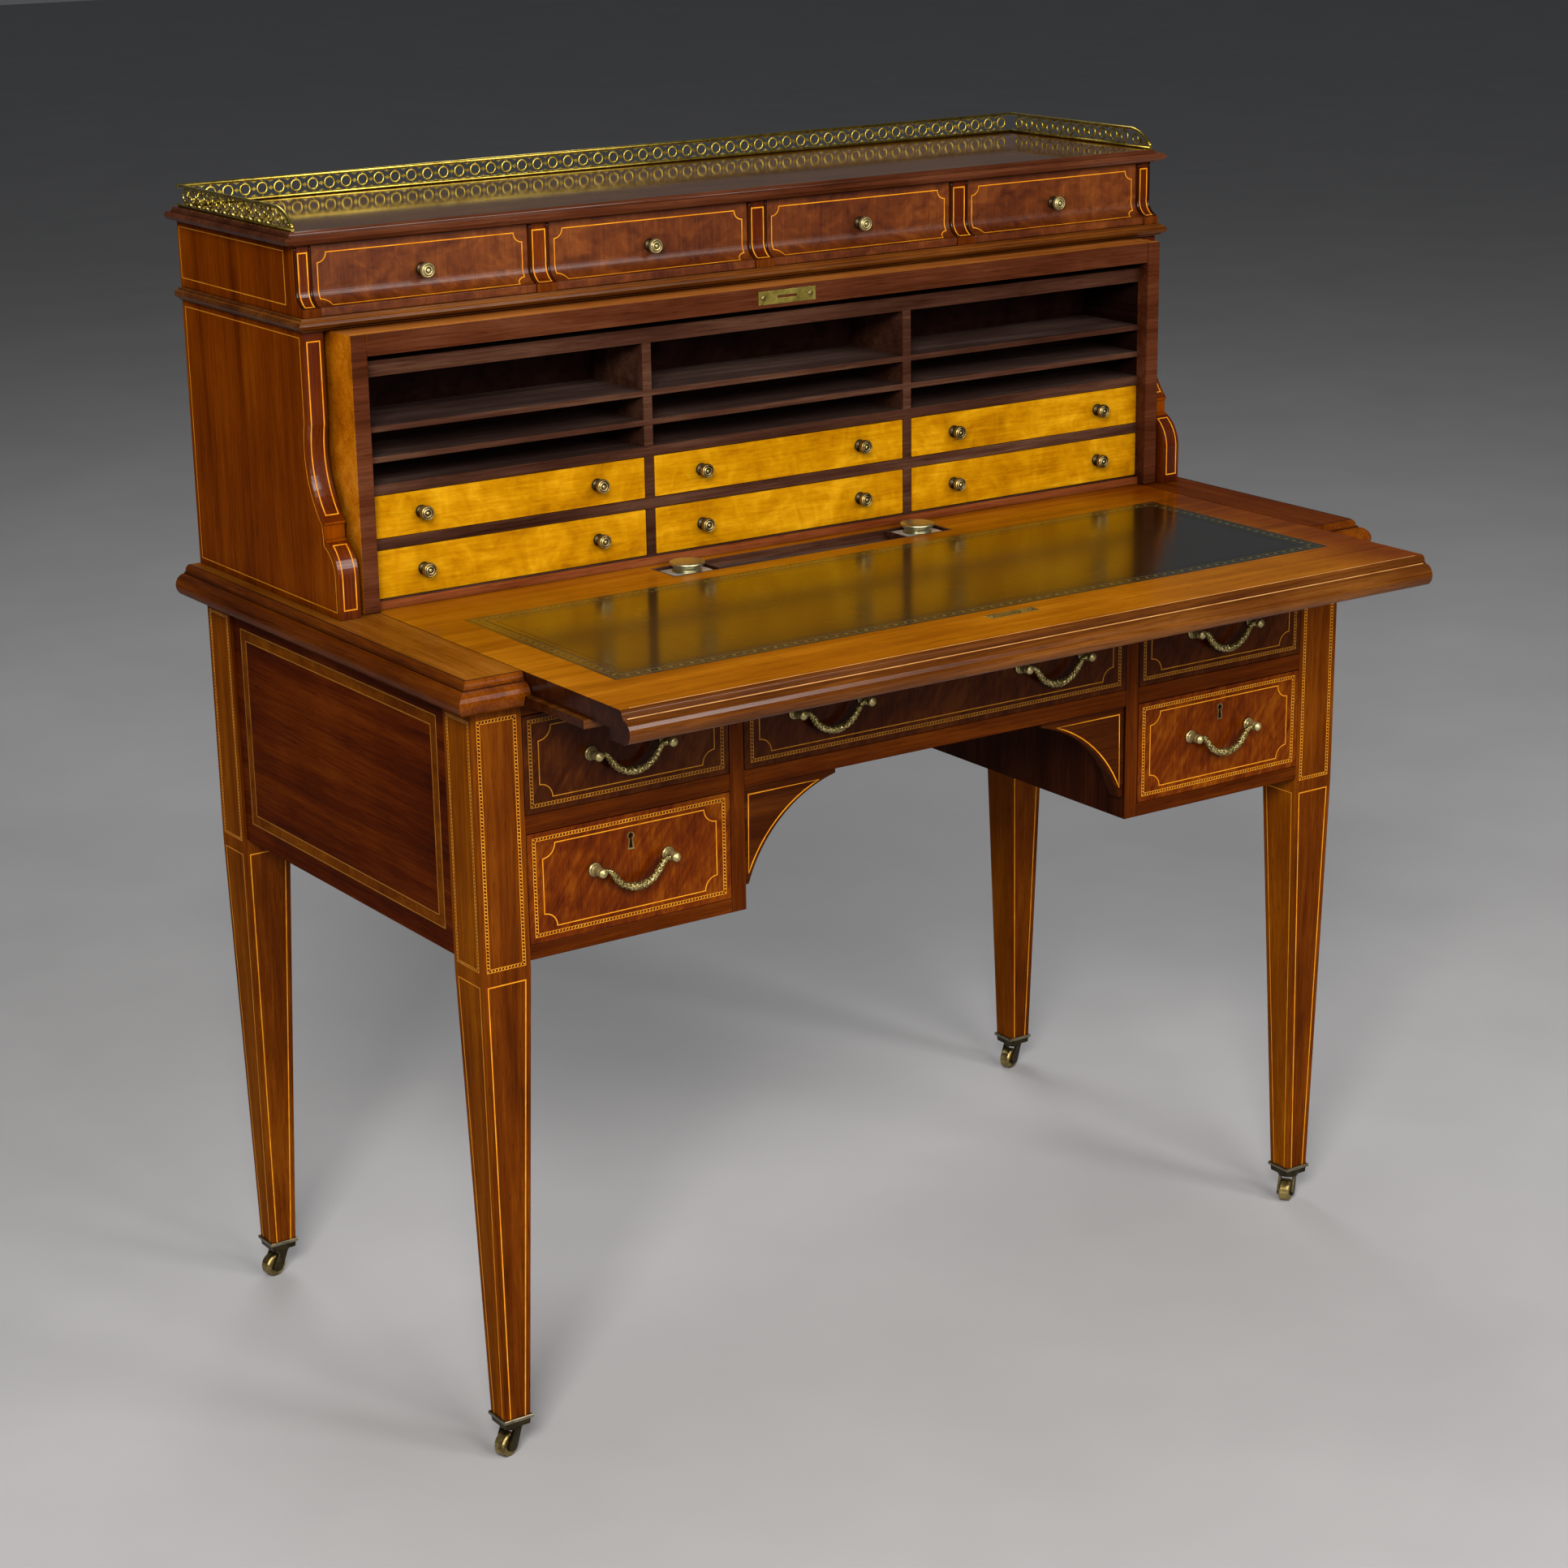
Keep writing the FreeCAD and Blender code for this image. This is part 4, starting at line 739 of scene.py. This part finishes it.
def cabinet_profile():
    """Front edge of a cabinet side above the impost, from the top down."""
    sweep = arc((sweep_face, sweep_top), sweep_middle, (impost_face, impost_top), 14)
    return Profile([(sweep_face, cabinet_high.z)] + [tuple(p) for p in sweep])


def scroll_profile():
    """Front edge of the scrolled foot below the impost, from the top down."""
    foot = arc(foot_start, foot_middle, foot_end, 10)
    return Profile([tuple(p) for p in foot] + [(foot_end[0], cabinet_low.z)])


def veneer(piece, profile, x0, x1, index=1):
    """A glossy skin over a moulded front, in steps fine enough to look round."""
    middle = (x0 + x1) / 2
    steps = int(profile.length)
    line = [Vector((middle, 0.3 + step * (profile.length - 0.6) / steps)) for step in range(steps + 1)]
    ribbon(piece, line, x1 - x0, profile.put, closed=False, index=index, lift=0.35)


def cabinet_inlay():
    """Veneered and strung front edges of the cabinet, and the strings on its sides."""
    piece = Piece()
    upper, lower = cabinet_profile(), scroll_profile()
    for sign in (-1, 1):
        x0, x1 = sorted((sign * cabinet_high.x, sign * (cabinet_high.x - side_width)))
        for profile, above, below in ((upper, 10, 8), (lower, 5, 9)):
            veneer(piece, profile, x0 + skin_gap, x1 - skin_gap)
            panel = rectangle(x0 + 4, x1 - 4, above, profile.length - below)
            ribbon(piece, follow(profile, panel), line_width, profile.put, lift=raised)
        outline = [Vector((cabinet_high.y, cabinet_high.z))] + upper.points + lower.points
        outline.append(Vector((cabinet_high.y, cabinet_low.z)))
        ribbon(piece, shifted(outline, 6.5), fine_width, side_at(sign * cabinet_high.x))
        frieze_side = rectangle(frieze_face + 18, frieze_high.y - 4, frieze_low.z + 9, frieze_high.z - 5)
        ribbon(piece, frieze_side, fine_width, side_at(sign * frieze_high.x))
    piece.done("cabinet_inlay", "carcass", (string_wood, mahogany_gloss))


def frieze_profile(proud):
    """The frieze front from the top down: upright face, hollow curve, plinth."""
    face = frieze_face - proud
    reach, height = hollow_middle
    curve = arc((face, hollow_top), (face - reach, height), (face - plinth_reach, plinth_top), 10)
    return Profile([(face, frieze_high.z)] + [tuple(p) for p in curve])


def half_round(piece, x, radius, profile):
    """A half-round bead that runs down a profile."""
    angles = [radians(30 * turn) for turn in range(-1, 8)]
    steps = 24
    rings = []
    for step in range(steps + 1):
        distance = 0.4 + step * (profile.length - 0.8) / steps
        rings.append([profile.put(x + radius * cos(a), distance, radius * sin(a)) for a in angles])
    piece.skin(rings, index=1)


def frieze_inlay():
    """Veneered strips between the frieze drawers, with string panels and beads along their edges."""
    piece = Piece()
    profile = frieze_profile(frieze_strip_proud)
    drawers = [span(name) for name in FRIEZE_DRAWERS]
    edges = [-frieze_high.x] + [x for low, high in drawers for x in (low.x, high.x)] + [frieze_high.x]
    for x0, x1 in zip(edges[::2], edges[1::2]):
        veneer(piece, profile, x0 + 0.4, x1 - 0.4, 2)
        panel = rectangle(x0 + 4.8, x1 - 4.8, 6, profile.length - 3)
        ribbon(piece, follow(profile, panel), line_width, profile.put, lift=raised)
        for x in (x0 + 2.1, x1 - 2.1):
            half_round(piece, x, 1.7, profile)
    piece.done("frieze_inlay", "carcass", (string_wood, bead_wood, mahogany_gloss))


def frieze_drawer_inlay(name):
    """Veneer and notched string of a frieze drawer front."""
    piece = Piece()
    profile = frieze_profile(0)
    low, high = span(name)
    veneer(piece, profile, low.x + skin_gap, high.x - skin_gap)
    path = follow(profile, notched(low.x + 6, high.x - 6, 7, profile.length - 3, 9))
    ribbon(piece, path, fine_width, profile.put, lift=raised)
    piece.done(name + "_inlay", name, (string_wood, burr_wood))


# Brass fittings
stem_profile = ((6.2, 0), (6.2, 1.3), (5.2, 2.0), (3.3, 2.9), (3.1, 4.6), (3.3, 6.4), (5.0, 7.4), (6.95, 8.4),
                (7.2, 9.6))
face_profile = ((7.2, 9.6), (7.25, 10.4), (6.9, 12.2), (6.4, 13.0), (5.6, 13.3), (5.3, 12.7), (4.9, 12.7),
                (4.5, 13.4), (3.9, 13.6), (3.2, 13.4), (2.6, 13.1), (2.0, 13.1), (1.7, 13.8), (0.9, 14),
                (0.1, 14))
outer_groove = ((5.7, 12.3), (5.7, 12.95), (4.5, 12.95), (4.5, 12.3))
inner_groove = ((2.9, 13), (2.9, 13.35), (2.0, 13.35), (2.0, 13))
post_profile = ((6.5, 0), (6.5, 1.2), (6.0, 1.8), (5.1, 2.1), (5.4, 2.8), (5.2, 3.8), (4.4, 4.3), (4.2, 5.4),
                (4.3, 6.8), (4.6, 7.4), (3.9, 8.0), (4.2, 8.8), (4.3, 10.8), (4.2, 12.8), (3.4, 13.3),
                (4.2, 13.9), (4.4, 15.2), (3.9, 16.2), (2.8, 16.9), (2.0, 17.0), (1.6, 17.6), (0.8, 17.9),
                (0.1, 18))
lid_profile = ((15.6, 0), (17.1, 0.1), (17.5, 0.6), (17.5, 1.9), (17.0, 2.5), (16.2, 2.7), (15.6, 2.5),
               (15.0, 2.8), (13.5, 3.1), (9, 3.35), (4, 3.5), (0.1, 3.5))
collar_profile = ((12.8, 0), (14.6, 0), (14.8, 0.8), (14.2, 1.3), (13.2, 1.7), (13.1, 2.5), (13.6, 3.3),
                  (13.4, 4.0), (14.2, 4.8), (15.3, 5.5), (15.8, 6.1), (15.6, 6.5), (12.8, 6.5))
screw_profile = ((2.6, 0), (2.6, 0.15), (2.1, 0.4), (0.1, 0.45))
bail_half = ((-34.4, 0), (-31, -0.2), (-28, -2.4), (-24.5, -7), (-20.5, -12), (-15, -16.6), (-8, -19.4),
             (0, -20.4))
post_reach = 39
bail_pin_reach = 34
lid_radius = 17.5
collar_radius = 15.8
forward_axis = Vector((0, -1, 0))
upright_axis = Vector((0, 0, 1))
side_axis = Vector((1, 0, 0))


def knurl(along, angle):
    """Ribs round the foot and the end of a handle post."""
    return 0.3 * cos(14 * angle) if 0 < along < 4 or 13.5 < along < 17 else 0


def drawer_brass(name):
    """Handle posts and keyhole escutcheon of a lower drawer."""
    piece = Piece()
    for joint in JOINTS.values():
        if joint["name"].startswith("bail_" + name):
            x, y, z = joint["pos_m"]
            for sign in (-1, 1):
                base = Vector((x + sign * post_reach * MM, FRONT, z))
                turned(piece, post_profile, base, forward_axis, 28, flute=knurl)
    low, high = span("fittings_" + name)
    middle = (low.x + high.x) / 2
    head = high.z - 4
    foot = high.z - 16.2
    path = arc((middle - 1.6, head - 2.8), (middle, head + 3.2), (middle + 1.6, head - 2.8), 14)
    path += [Vector((middle + 2.8, foot)), Vector((middle - 2.8, foot))]
    ribbon(piece, path, 1.3, front_at(0), index=1, lift=0.3)
    piece.done("fittings_%s_brass" % name, "drawer_" + name, (old_brass, knob_brass),
               ("fittings_" + name,))


def smooth_path(points, steps):
    """A curve that passes through points of a plane."""
    path = []
    padded = [2 * points[0] - points[1]] + points + [2 * points[-1] - points[-2]]
    for a, b, c, d in zip(padded, padded[1:], padded[2:], padded[3:]):
        for step in range(steps):
            t = step / steps
            path.append(0.5 * (2 * b + (c - a) * t + (2 * a - 5 * b + 4 * c - d) * t ** 2
                               + (3 * b - a - 3 * c + d) * t ** 3))
    return path + [points[-1]]


def swelling(share, place, reach):
    """A smooth swelling, 1 at its place and fading over its reach."""
    return exp(-((share - place) / reach) ** 2)


def bail_brass(name):
    """A cast swan-neck handle with a leafy swelling at its middle."""
    pivot = Vector(JOINTS[name + "_swing"]["pos_m"])
    half = [Vector(p) for p in bail_half]
    centre_line = smooth_path(half + [Vector((-p.x, p.y)) for p in reversed(half[:-1])], 9)
    rings = []
    last = len(centre_line) - 1
    for i, point in enumerate(centre_line):
        along = (centre_line[min(i + 1, last)] - centre_line[max(i - 1, 0)]).normalized()
        across = along.orthogonal()
        share = abs(2 * i / last - 1)
        radius = 2.2 + 0.9 * swelling(share, 0.45, 0.3) + 1.6 * swelling(share, 0, 0.2)
        radius += 0.5 * swelling(share, 0.97, 0.05)
        steps = min(i, last - i)
        ring = []
        for angle in around(20):
            leaf = sin(3 * angle + steps * 1.1) + 0.5 * sin(4 * angle - steps * 0.9)
            carved = radius + 0.42 * leaf * (1 - share ** 6)
            spot = point + across * (carved * cos(angle))
            ring.append(pivot + Vector((spot.x, carved * sin(angle), spot.y)) * MM)
        rings.append(ring)
    piece = Piece()
    piece.skin(rings)
    for sign in (-1, 1):
        base = pivot + side_axis * (sign * bail_pin_reach * MM)
        turned(piece, ((1.3, 0), (1.3, 6.2)), base, side_axis * sign, 12)
    piece.done(name + "_brass", name, (cast_brass,), (name,))


def knobs(name, places, body, face, stem):
    """Turned brass knobs over the plain ones of the solid, with dark grooves in the face and a dark stem,
    painted shade round the face.
    """
    piece = Piece()
    for place in places:
        for profile, index in ((stem_profile, 1), (face_profile, 0), (outer_groove, 2), (inner_groove, 2)):
            turned(piece, profile, at(*place), forward_axis, 24, index)
    piece.done(name, body, (face, stem, bronze))


def inkwell_lid_brass(side):
    """A turned lid and its hinge pin."""
    piece = Piece()
    name = "inkwell_lid_" + side
    x, y, z = JOINTS[name + "_hinge"]["pos_m"]
    centre = Vector((x, y - lid_radius * MM, span(name)[0].z * MM))
    turned(piece, lid_profile, centre, upright_axis, 56)
    turned(piece, ((1.2, 0), (1.2, 12)), Vector((x - 6 * MM, y, z)), side_axis, 16)
    piece.done(name + "_brass", name, (lid_brass,), (name,))


def collar_brass():
    """Waisted collars below the inkwell lids."""
    piece = Piece()
    low, high = span("inkwell_collars")
    for x in (low.x + collar_radius, high.x - collar_radius):
        turned(piece, collar_profile, at(x, (low.y + high.y) / 2, low.z), upright_axis, 48)
    piece.done("inkwell_collars_brass", "carriage", (lid_brass,), ("inkwell_collars",))


def castor_cup_pieces():
    """Square cups with a proud rim round the foot and a narrower box below it."""
    piece = Piece()
    low, high = span("castor_cups")
    half_top = 15.5
    box = ((0, 12.4), (0.2, 13.0), (5.4, 13.5), (6.2, 13.9), (6.6, 13.4), (5, 13.3))
    rim = ((6.2, 13.8), (6.5, 15.1), (7.0, half_top), (9.3, half_top), (10, 14.9), (10, 13.4), (6.4, 13.4))
    for x in (low.x + half_top, high.x - half_top):
        for y in (low.y + half_top, high.y - half_top):
            for index, profile in enumerate((box, rim)):
                rings = [[at(x + a * half, y + b * half, low.z + z) for a, b in square]
                         for z, half in profile]
                piece.skin(rings, index=index, smooth=False)
    piece.done("castor_cups_bronze", "carcass", (bronze, rim_bronze), ("castor_cups",))


def case_string():
    """A string along the top of the case, near its front edge."""
    piece = Piece()
    low, high = span("nest_case")
    line = [Vector((x, low.y + 4)) for x in (low.x + 1, high.x - 1)]
    ribbon(piece, line, line_width, top_at(high.z), closed=False)
    piece.done("case_string", "carriage", (string_wood,))


def nest_sill():
    """A reddish strip below the small drawers, lighter than the shadowed nest: partly a painted highlight."""
    piece = Piece()
    low, high = span("nest_shelves")
    top = span("nest_drawer_low_left")[0].z - 1
    line = [Vector((x, (low.z + top) / 2)) for x in (low.x + 1, high.x - 1)]
    ribbon(piece, line, top - low.z - 0.6, front_at(low.y), closed=False, lift=0.25)
    piece.done("nest_sill", "carriage", (sill_wood,))


def plate_screws():
    """Screw heads in the lock plate and the strike plate."""
    piece = Piece()
    low, high = span("nest_case")
    strike_y = span("writing_board")[0].y + 77
    for sign in (-1, 1):
        turned(piece, screw_profile, at(sign * 28, low.y, high.z - 10.25), forward_axis, 20)
        turned(piece, screw_profile, at(sign * 22.5, strike_y, span("leather_inset")[1].z), upright_axis, 20)
    piece.done("plate_screws", "carriage", (knob_brass,))


# Gallery
gallery_pitch = 18.2
gallery_ramp = 32
leaf_outline = ((0, -1), (0.45, -0.4), (1, 0), (0.45, 0.4), (0, 1), (-0.45, 0.4), (-1, 0), (-0.45, -0.4))
finial_profile = ((0.3, -2.4), (1.6, -1.8), (2.4, 0), (1.6, 1.8), (0.3, 2.4))
top_bar_height = 1.8
foot_bar_height = 1.6


def gallery_ring(piece, put, along, height, outer, inner):
    """A cast ring with softened edges."""
    section = ((inner, -0.56), (inner + 0.4, -0.8), (outer - 0.4, -0.8), (outer, -0.56))
    section += tuple((radius, -depth) for radius, depth in reversed(section))
    rings = [[put(along + radius * cos(angle), depth, height + radius * sin(angle))
              for radius, depth in section] for angle in around(20)]
    piece.skin(rings, loop=True)


def gallery_leaf(piece, put, along, height, half_width, half_height):
    """A small pointed piece between two rings."""
    piece.skin([[put(along + a * half_width, depth, height + b * half_height) for a, b in leaf_outline]
                for depth in (-0.75, 0.75)], smooth=False)


def gallery_bar(piece, put, path, half_width, half_height):
    """A rounded bar along (along, height) points."""
    rings = []
    for point, side in zip(path, mitres(path, False)):
        ring = []
        for angle in around(12):
            spot = point + side * (half_height * sin(angle))
            ring.append(put(spot.x, half_width * cos(angle), spot.y))
        rings.append(ring)
    piece.skin(rings)


def gallery_run(piece, put, length, ramp, high):
    """One side of the gallery, swept down to its end if it has a ramp."""
    flat = length - ramp
    count = int(flat / gallery_pitch)
    start = (flat - count * gallery_pitch) / 2
    middle = high / 2 - 0.1
    for number in range(count):
        along = start + (number + 0.5) * gallery_pitch
        gallery_ring(piece, put, along, middle, 6.2, 4.3)
        for lift in (-7.3, 7.3):
            gallery_leaf(piece, put, along, middle + lift, 1.4, 1.2)
        if number:
            joint = along - gallery_pitch / 2
            gallery_leaf(piece, put, joint, middle, 3.1, 2.2)
            for lift in (-7.2, 7.2):
                gallery_leaf(piece, put, joint, middle + lift, 3.4, 1.9)
    bar = high - top_bar_height
    top = [Vector((0, bar)), Vector((flat, bar))]
    if ramp:
        curve = arc((flat, bar), (length - ramp * 0.42, bar - (high - 5) * 0.36), (length - 2, 4.5), 12)
        top = top[:1] + curve
        gallery_ring(piece, put, flat + 6, middle - 1.4, 5.2, 3.4)
        gallery_leaf(piece, put, flat + 15, middle - 3.4, 3.4, 3)
        gallery_leaf(piece, put, flat + 21.5, middle - 5.4, 2.6, 2)
        turned(piece, finial_profile, put(length - 2.4, 0, 4.6), upright_axis, 14)
    gallery_bar(piece, put, top, 1.9, top_bar_height)
    foot = [Vector((0, foot_bar_height)), Vector((length - 1, foot_bar_height))]
    gallery_bar(piece, put, foot, 2.0, foot_bar_height)


def gallery():
    piece = Piece()
    low, high = span("gallery")
    back, side = high.y - 2, high.x - 2
    tall = high.z - low.z
    gallery_run(piece, lambda a, d, h: at(low.x + a, back + d, low.z + h), high.x - low.x, 0, tall)
    for sign in (-1, 1):
        gallery_run(piece, lambda a, d, h: at(sign * (side + d), back - 2 - a, low.z + h), back - 2 - low.y,
                    gallery_ramp, tall)
    piece.done("gallery_brass", "carcass", (gallery_brass,), ("gallery",))


def leather_tooling():
    """Fine tooled lines with small stamps between them, near the edge of the leather."""
    piece = Piece()
    low, high = span("leather_inset")
    put = top_at(high.z)
    stamp_inset, stamp_pitch = 8.8, 5.5

    def border(inset):
        return rectangle(low.x + inset, high.x - inset, low.y + inset, high.y - inset)
    for inset, width, index in ((2.5, 0.8, 0), (4.5, 0.6, 1), (13, 0.6, 1), (15, 1.0, 0), (22, 0.5, 0)):
        ribbon(piece, border(inset), width, put, index=index, lift=0.05)
    stamped = border(stamp_inset)
    for start, end in zip(stamped, stamped[1:] + stamped[:1]):
        run = end - start
        count = int(run.length / stamp_pitch)
        for number in range(count):
            spot = start + run * ((number + 0.5) / count)
            reach = 2.3 if number % 2 else 1.2
            points = [spot + Vector(p) * reach for p in ((-1, 0), (0, -1), (1, 0), (0, 1))]
            rings = [[put(p.x, p.y, height) for p in points] for height in (-0.2, 0.05)]
            piece.skin(rings, index=number % 2, smooth=False)
    piece.done("leather_tooling", "carriage", (tooling, gilt))


def dress():
    """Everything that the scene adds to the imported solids."""
    dress_nodes()
    leg_inlay()
    side_panel_inlay()
    bracket_inlay()
    cabinet_inlay()
    frieze_inlay()
    # Light lines on the writing board: painted highlights, partly wear
    arrises("writing_board", "carriage", 0, worn_edge, 0.9)
    # Dark lines on the fixed top: painted shadow in the quirks of its moulding
    arrises("fixed_top", "carcass", 464.5, ebony, 1.4)
    for name in LOWER:
        drawer_inlay(name)
        drawer_brass(name)
    for joint in JOINTS:
        if joint.startswith("bail"):
            bail_brass(joint.replace("_swing", ""))
    for name in FRIEZE_DRAWERS:
        low, high = span(name)
        frieze_drawer_inlay(name)
        spot = ((low.x + high.x) / 2, frieze_face, (frieze_low.z + frieze_high.z) / 2)
        knobs(name + "_knob", [spot], name, old_brass, bronze)
    for name in NEST_DRAWERS:
        low, high = span(name)
        middle = (low.z + high.z) / 2 + 0.1
        spots = [(x, low.y + 13, middle) for x in (low.x + 54.3, high.x - 54.3)]
        knobs(name + "_knobs", spots, name, knob_brass, bronze)
    for side in ("left", "right"):
        inkwell_lid_brass(side)
    case_string()
    nest_sill()
    collar_brass()
    castor_cup_pieces()
    plate_screws()
    gallery()
    leather_tooling()


dress()


# Camera as fitted to the photograph, in pixels of the photograph
photo_size = 1932
focal_length = 4094.5
centre_x, centre_y = 981.3, 1028.2
yaw, pitch, roll = 0.6031, -0.311, -0.014
camera_place = (-1850.4, -2437.5, 1503.4)
film_width = 36


def photo_camera():
    forward = Vector((sin(yaw) * cos(pitch), cos(yaw) * cos(pitch), sin(pitch)))
    right = Vector((cos(yaw), -sin(yaw), 0))
    up = right.cross(forward)
    side = cos(roll) * right + sin(roll) * up
    top = cos(roll) * up - sin(roll) * right
    camera = bpy.data.cameras.new("camera")
    camera.sensor_width = film_width
    camera.lens = film_width * focal_length / photo_size
    camera.shift_x = 0.5 - centre_x / photo_size
    camera.shift_y = centre_y / photo_size - 0.5
    SCENE.camera = linked("camera", camera)
    turn = Matrix((side, top, -forward)).transposed().to_4x4()
    SCENE.camera.matrix_world = Matrix.Translation(at(*camera_place)) @ turn


def stage():
    """A plain floor and a dim, even world."""
    bpy.ops.mesh.primitive_plane_add(size=40, location=(0, 0, 0))
    floor = bpy.context.active_object
    floor.name = "floor"
    floor.data.materials.append(plain_shader("floor", (160, 160, 162), (166, 166, 168), 3, (0.8, 0.9)))
    world = bpy.data.worlds.new("studio")
    world.use_nodes = True
    background = world.node_tree.nodes["Background"].inputs
    background["Color"].default_value = tone(225, 228, 232)
    background["Strength"].default_value = 0.1
    SCENE.world = world


def lamp(name, place, aim, size, energy, colour=(1, 1, 1)):
    """A square lamp that shines on a height above the middle of the desk."""
    light = bpy.data.lights.new(name, "AREA")
    light.size = size
    light.energy = energy
    light.color = colour
    holder = linked(name, light)
    holder.location = place
    holder.rotation_euler = (Vector((0, 0, aim)) - Vector(place)).to_track_quat("-Z", "Y").to_euler()


photo_camera()
stage()
lamp("key", (-2.5, -2.9, 2.7), 0.6, 1.3, 210, (1, 0.96, 0.9))
lamp("fill", (-0.2, -3.7, 1.9), 0.7, 1.6, 95, (1, 0.97, 0.93))
lamp("glint", (1.6, -3.3, 2.8), 0.9, 0.9, 58, (1, 0.97, 0.95))
lamp("back", (0.6, 2.3, 4.0), 0.6, 1.6, 60)
SCENE.view_settings.view_transform = "Standard"
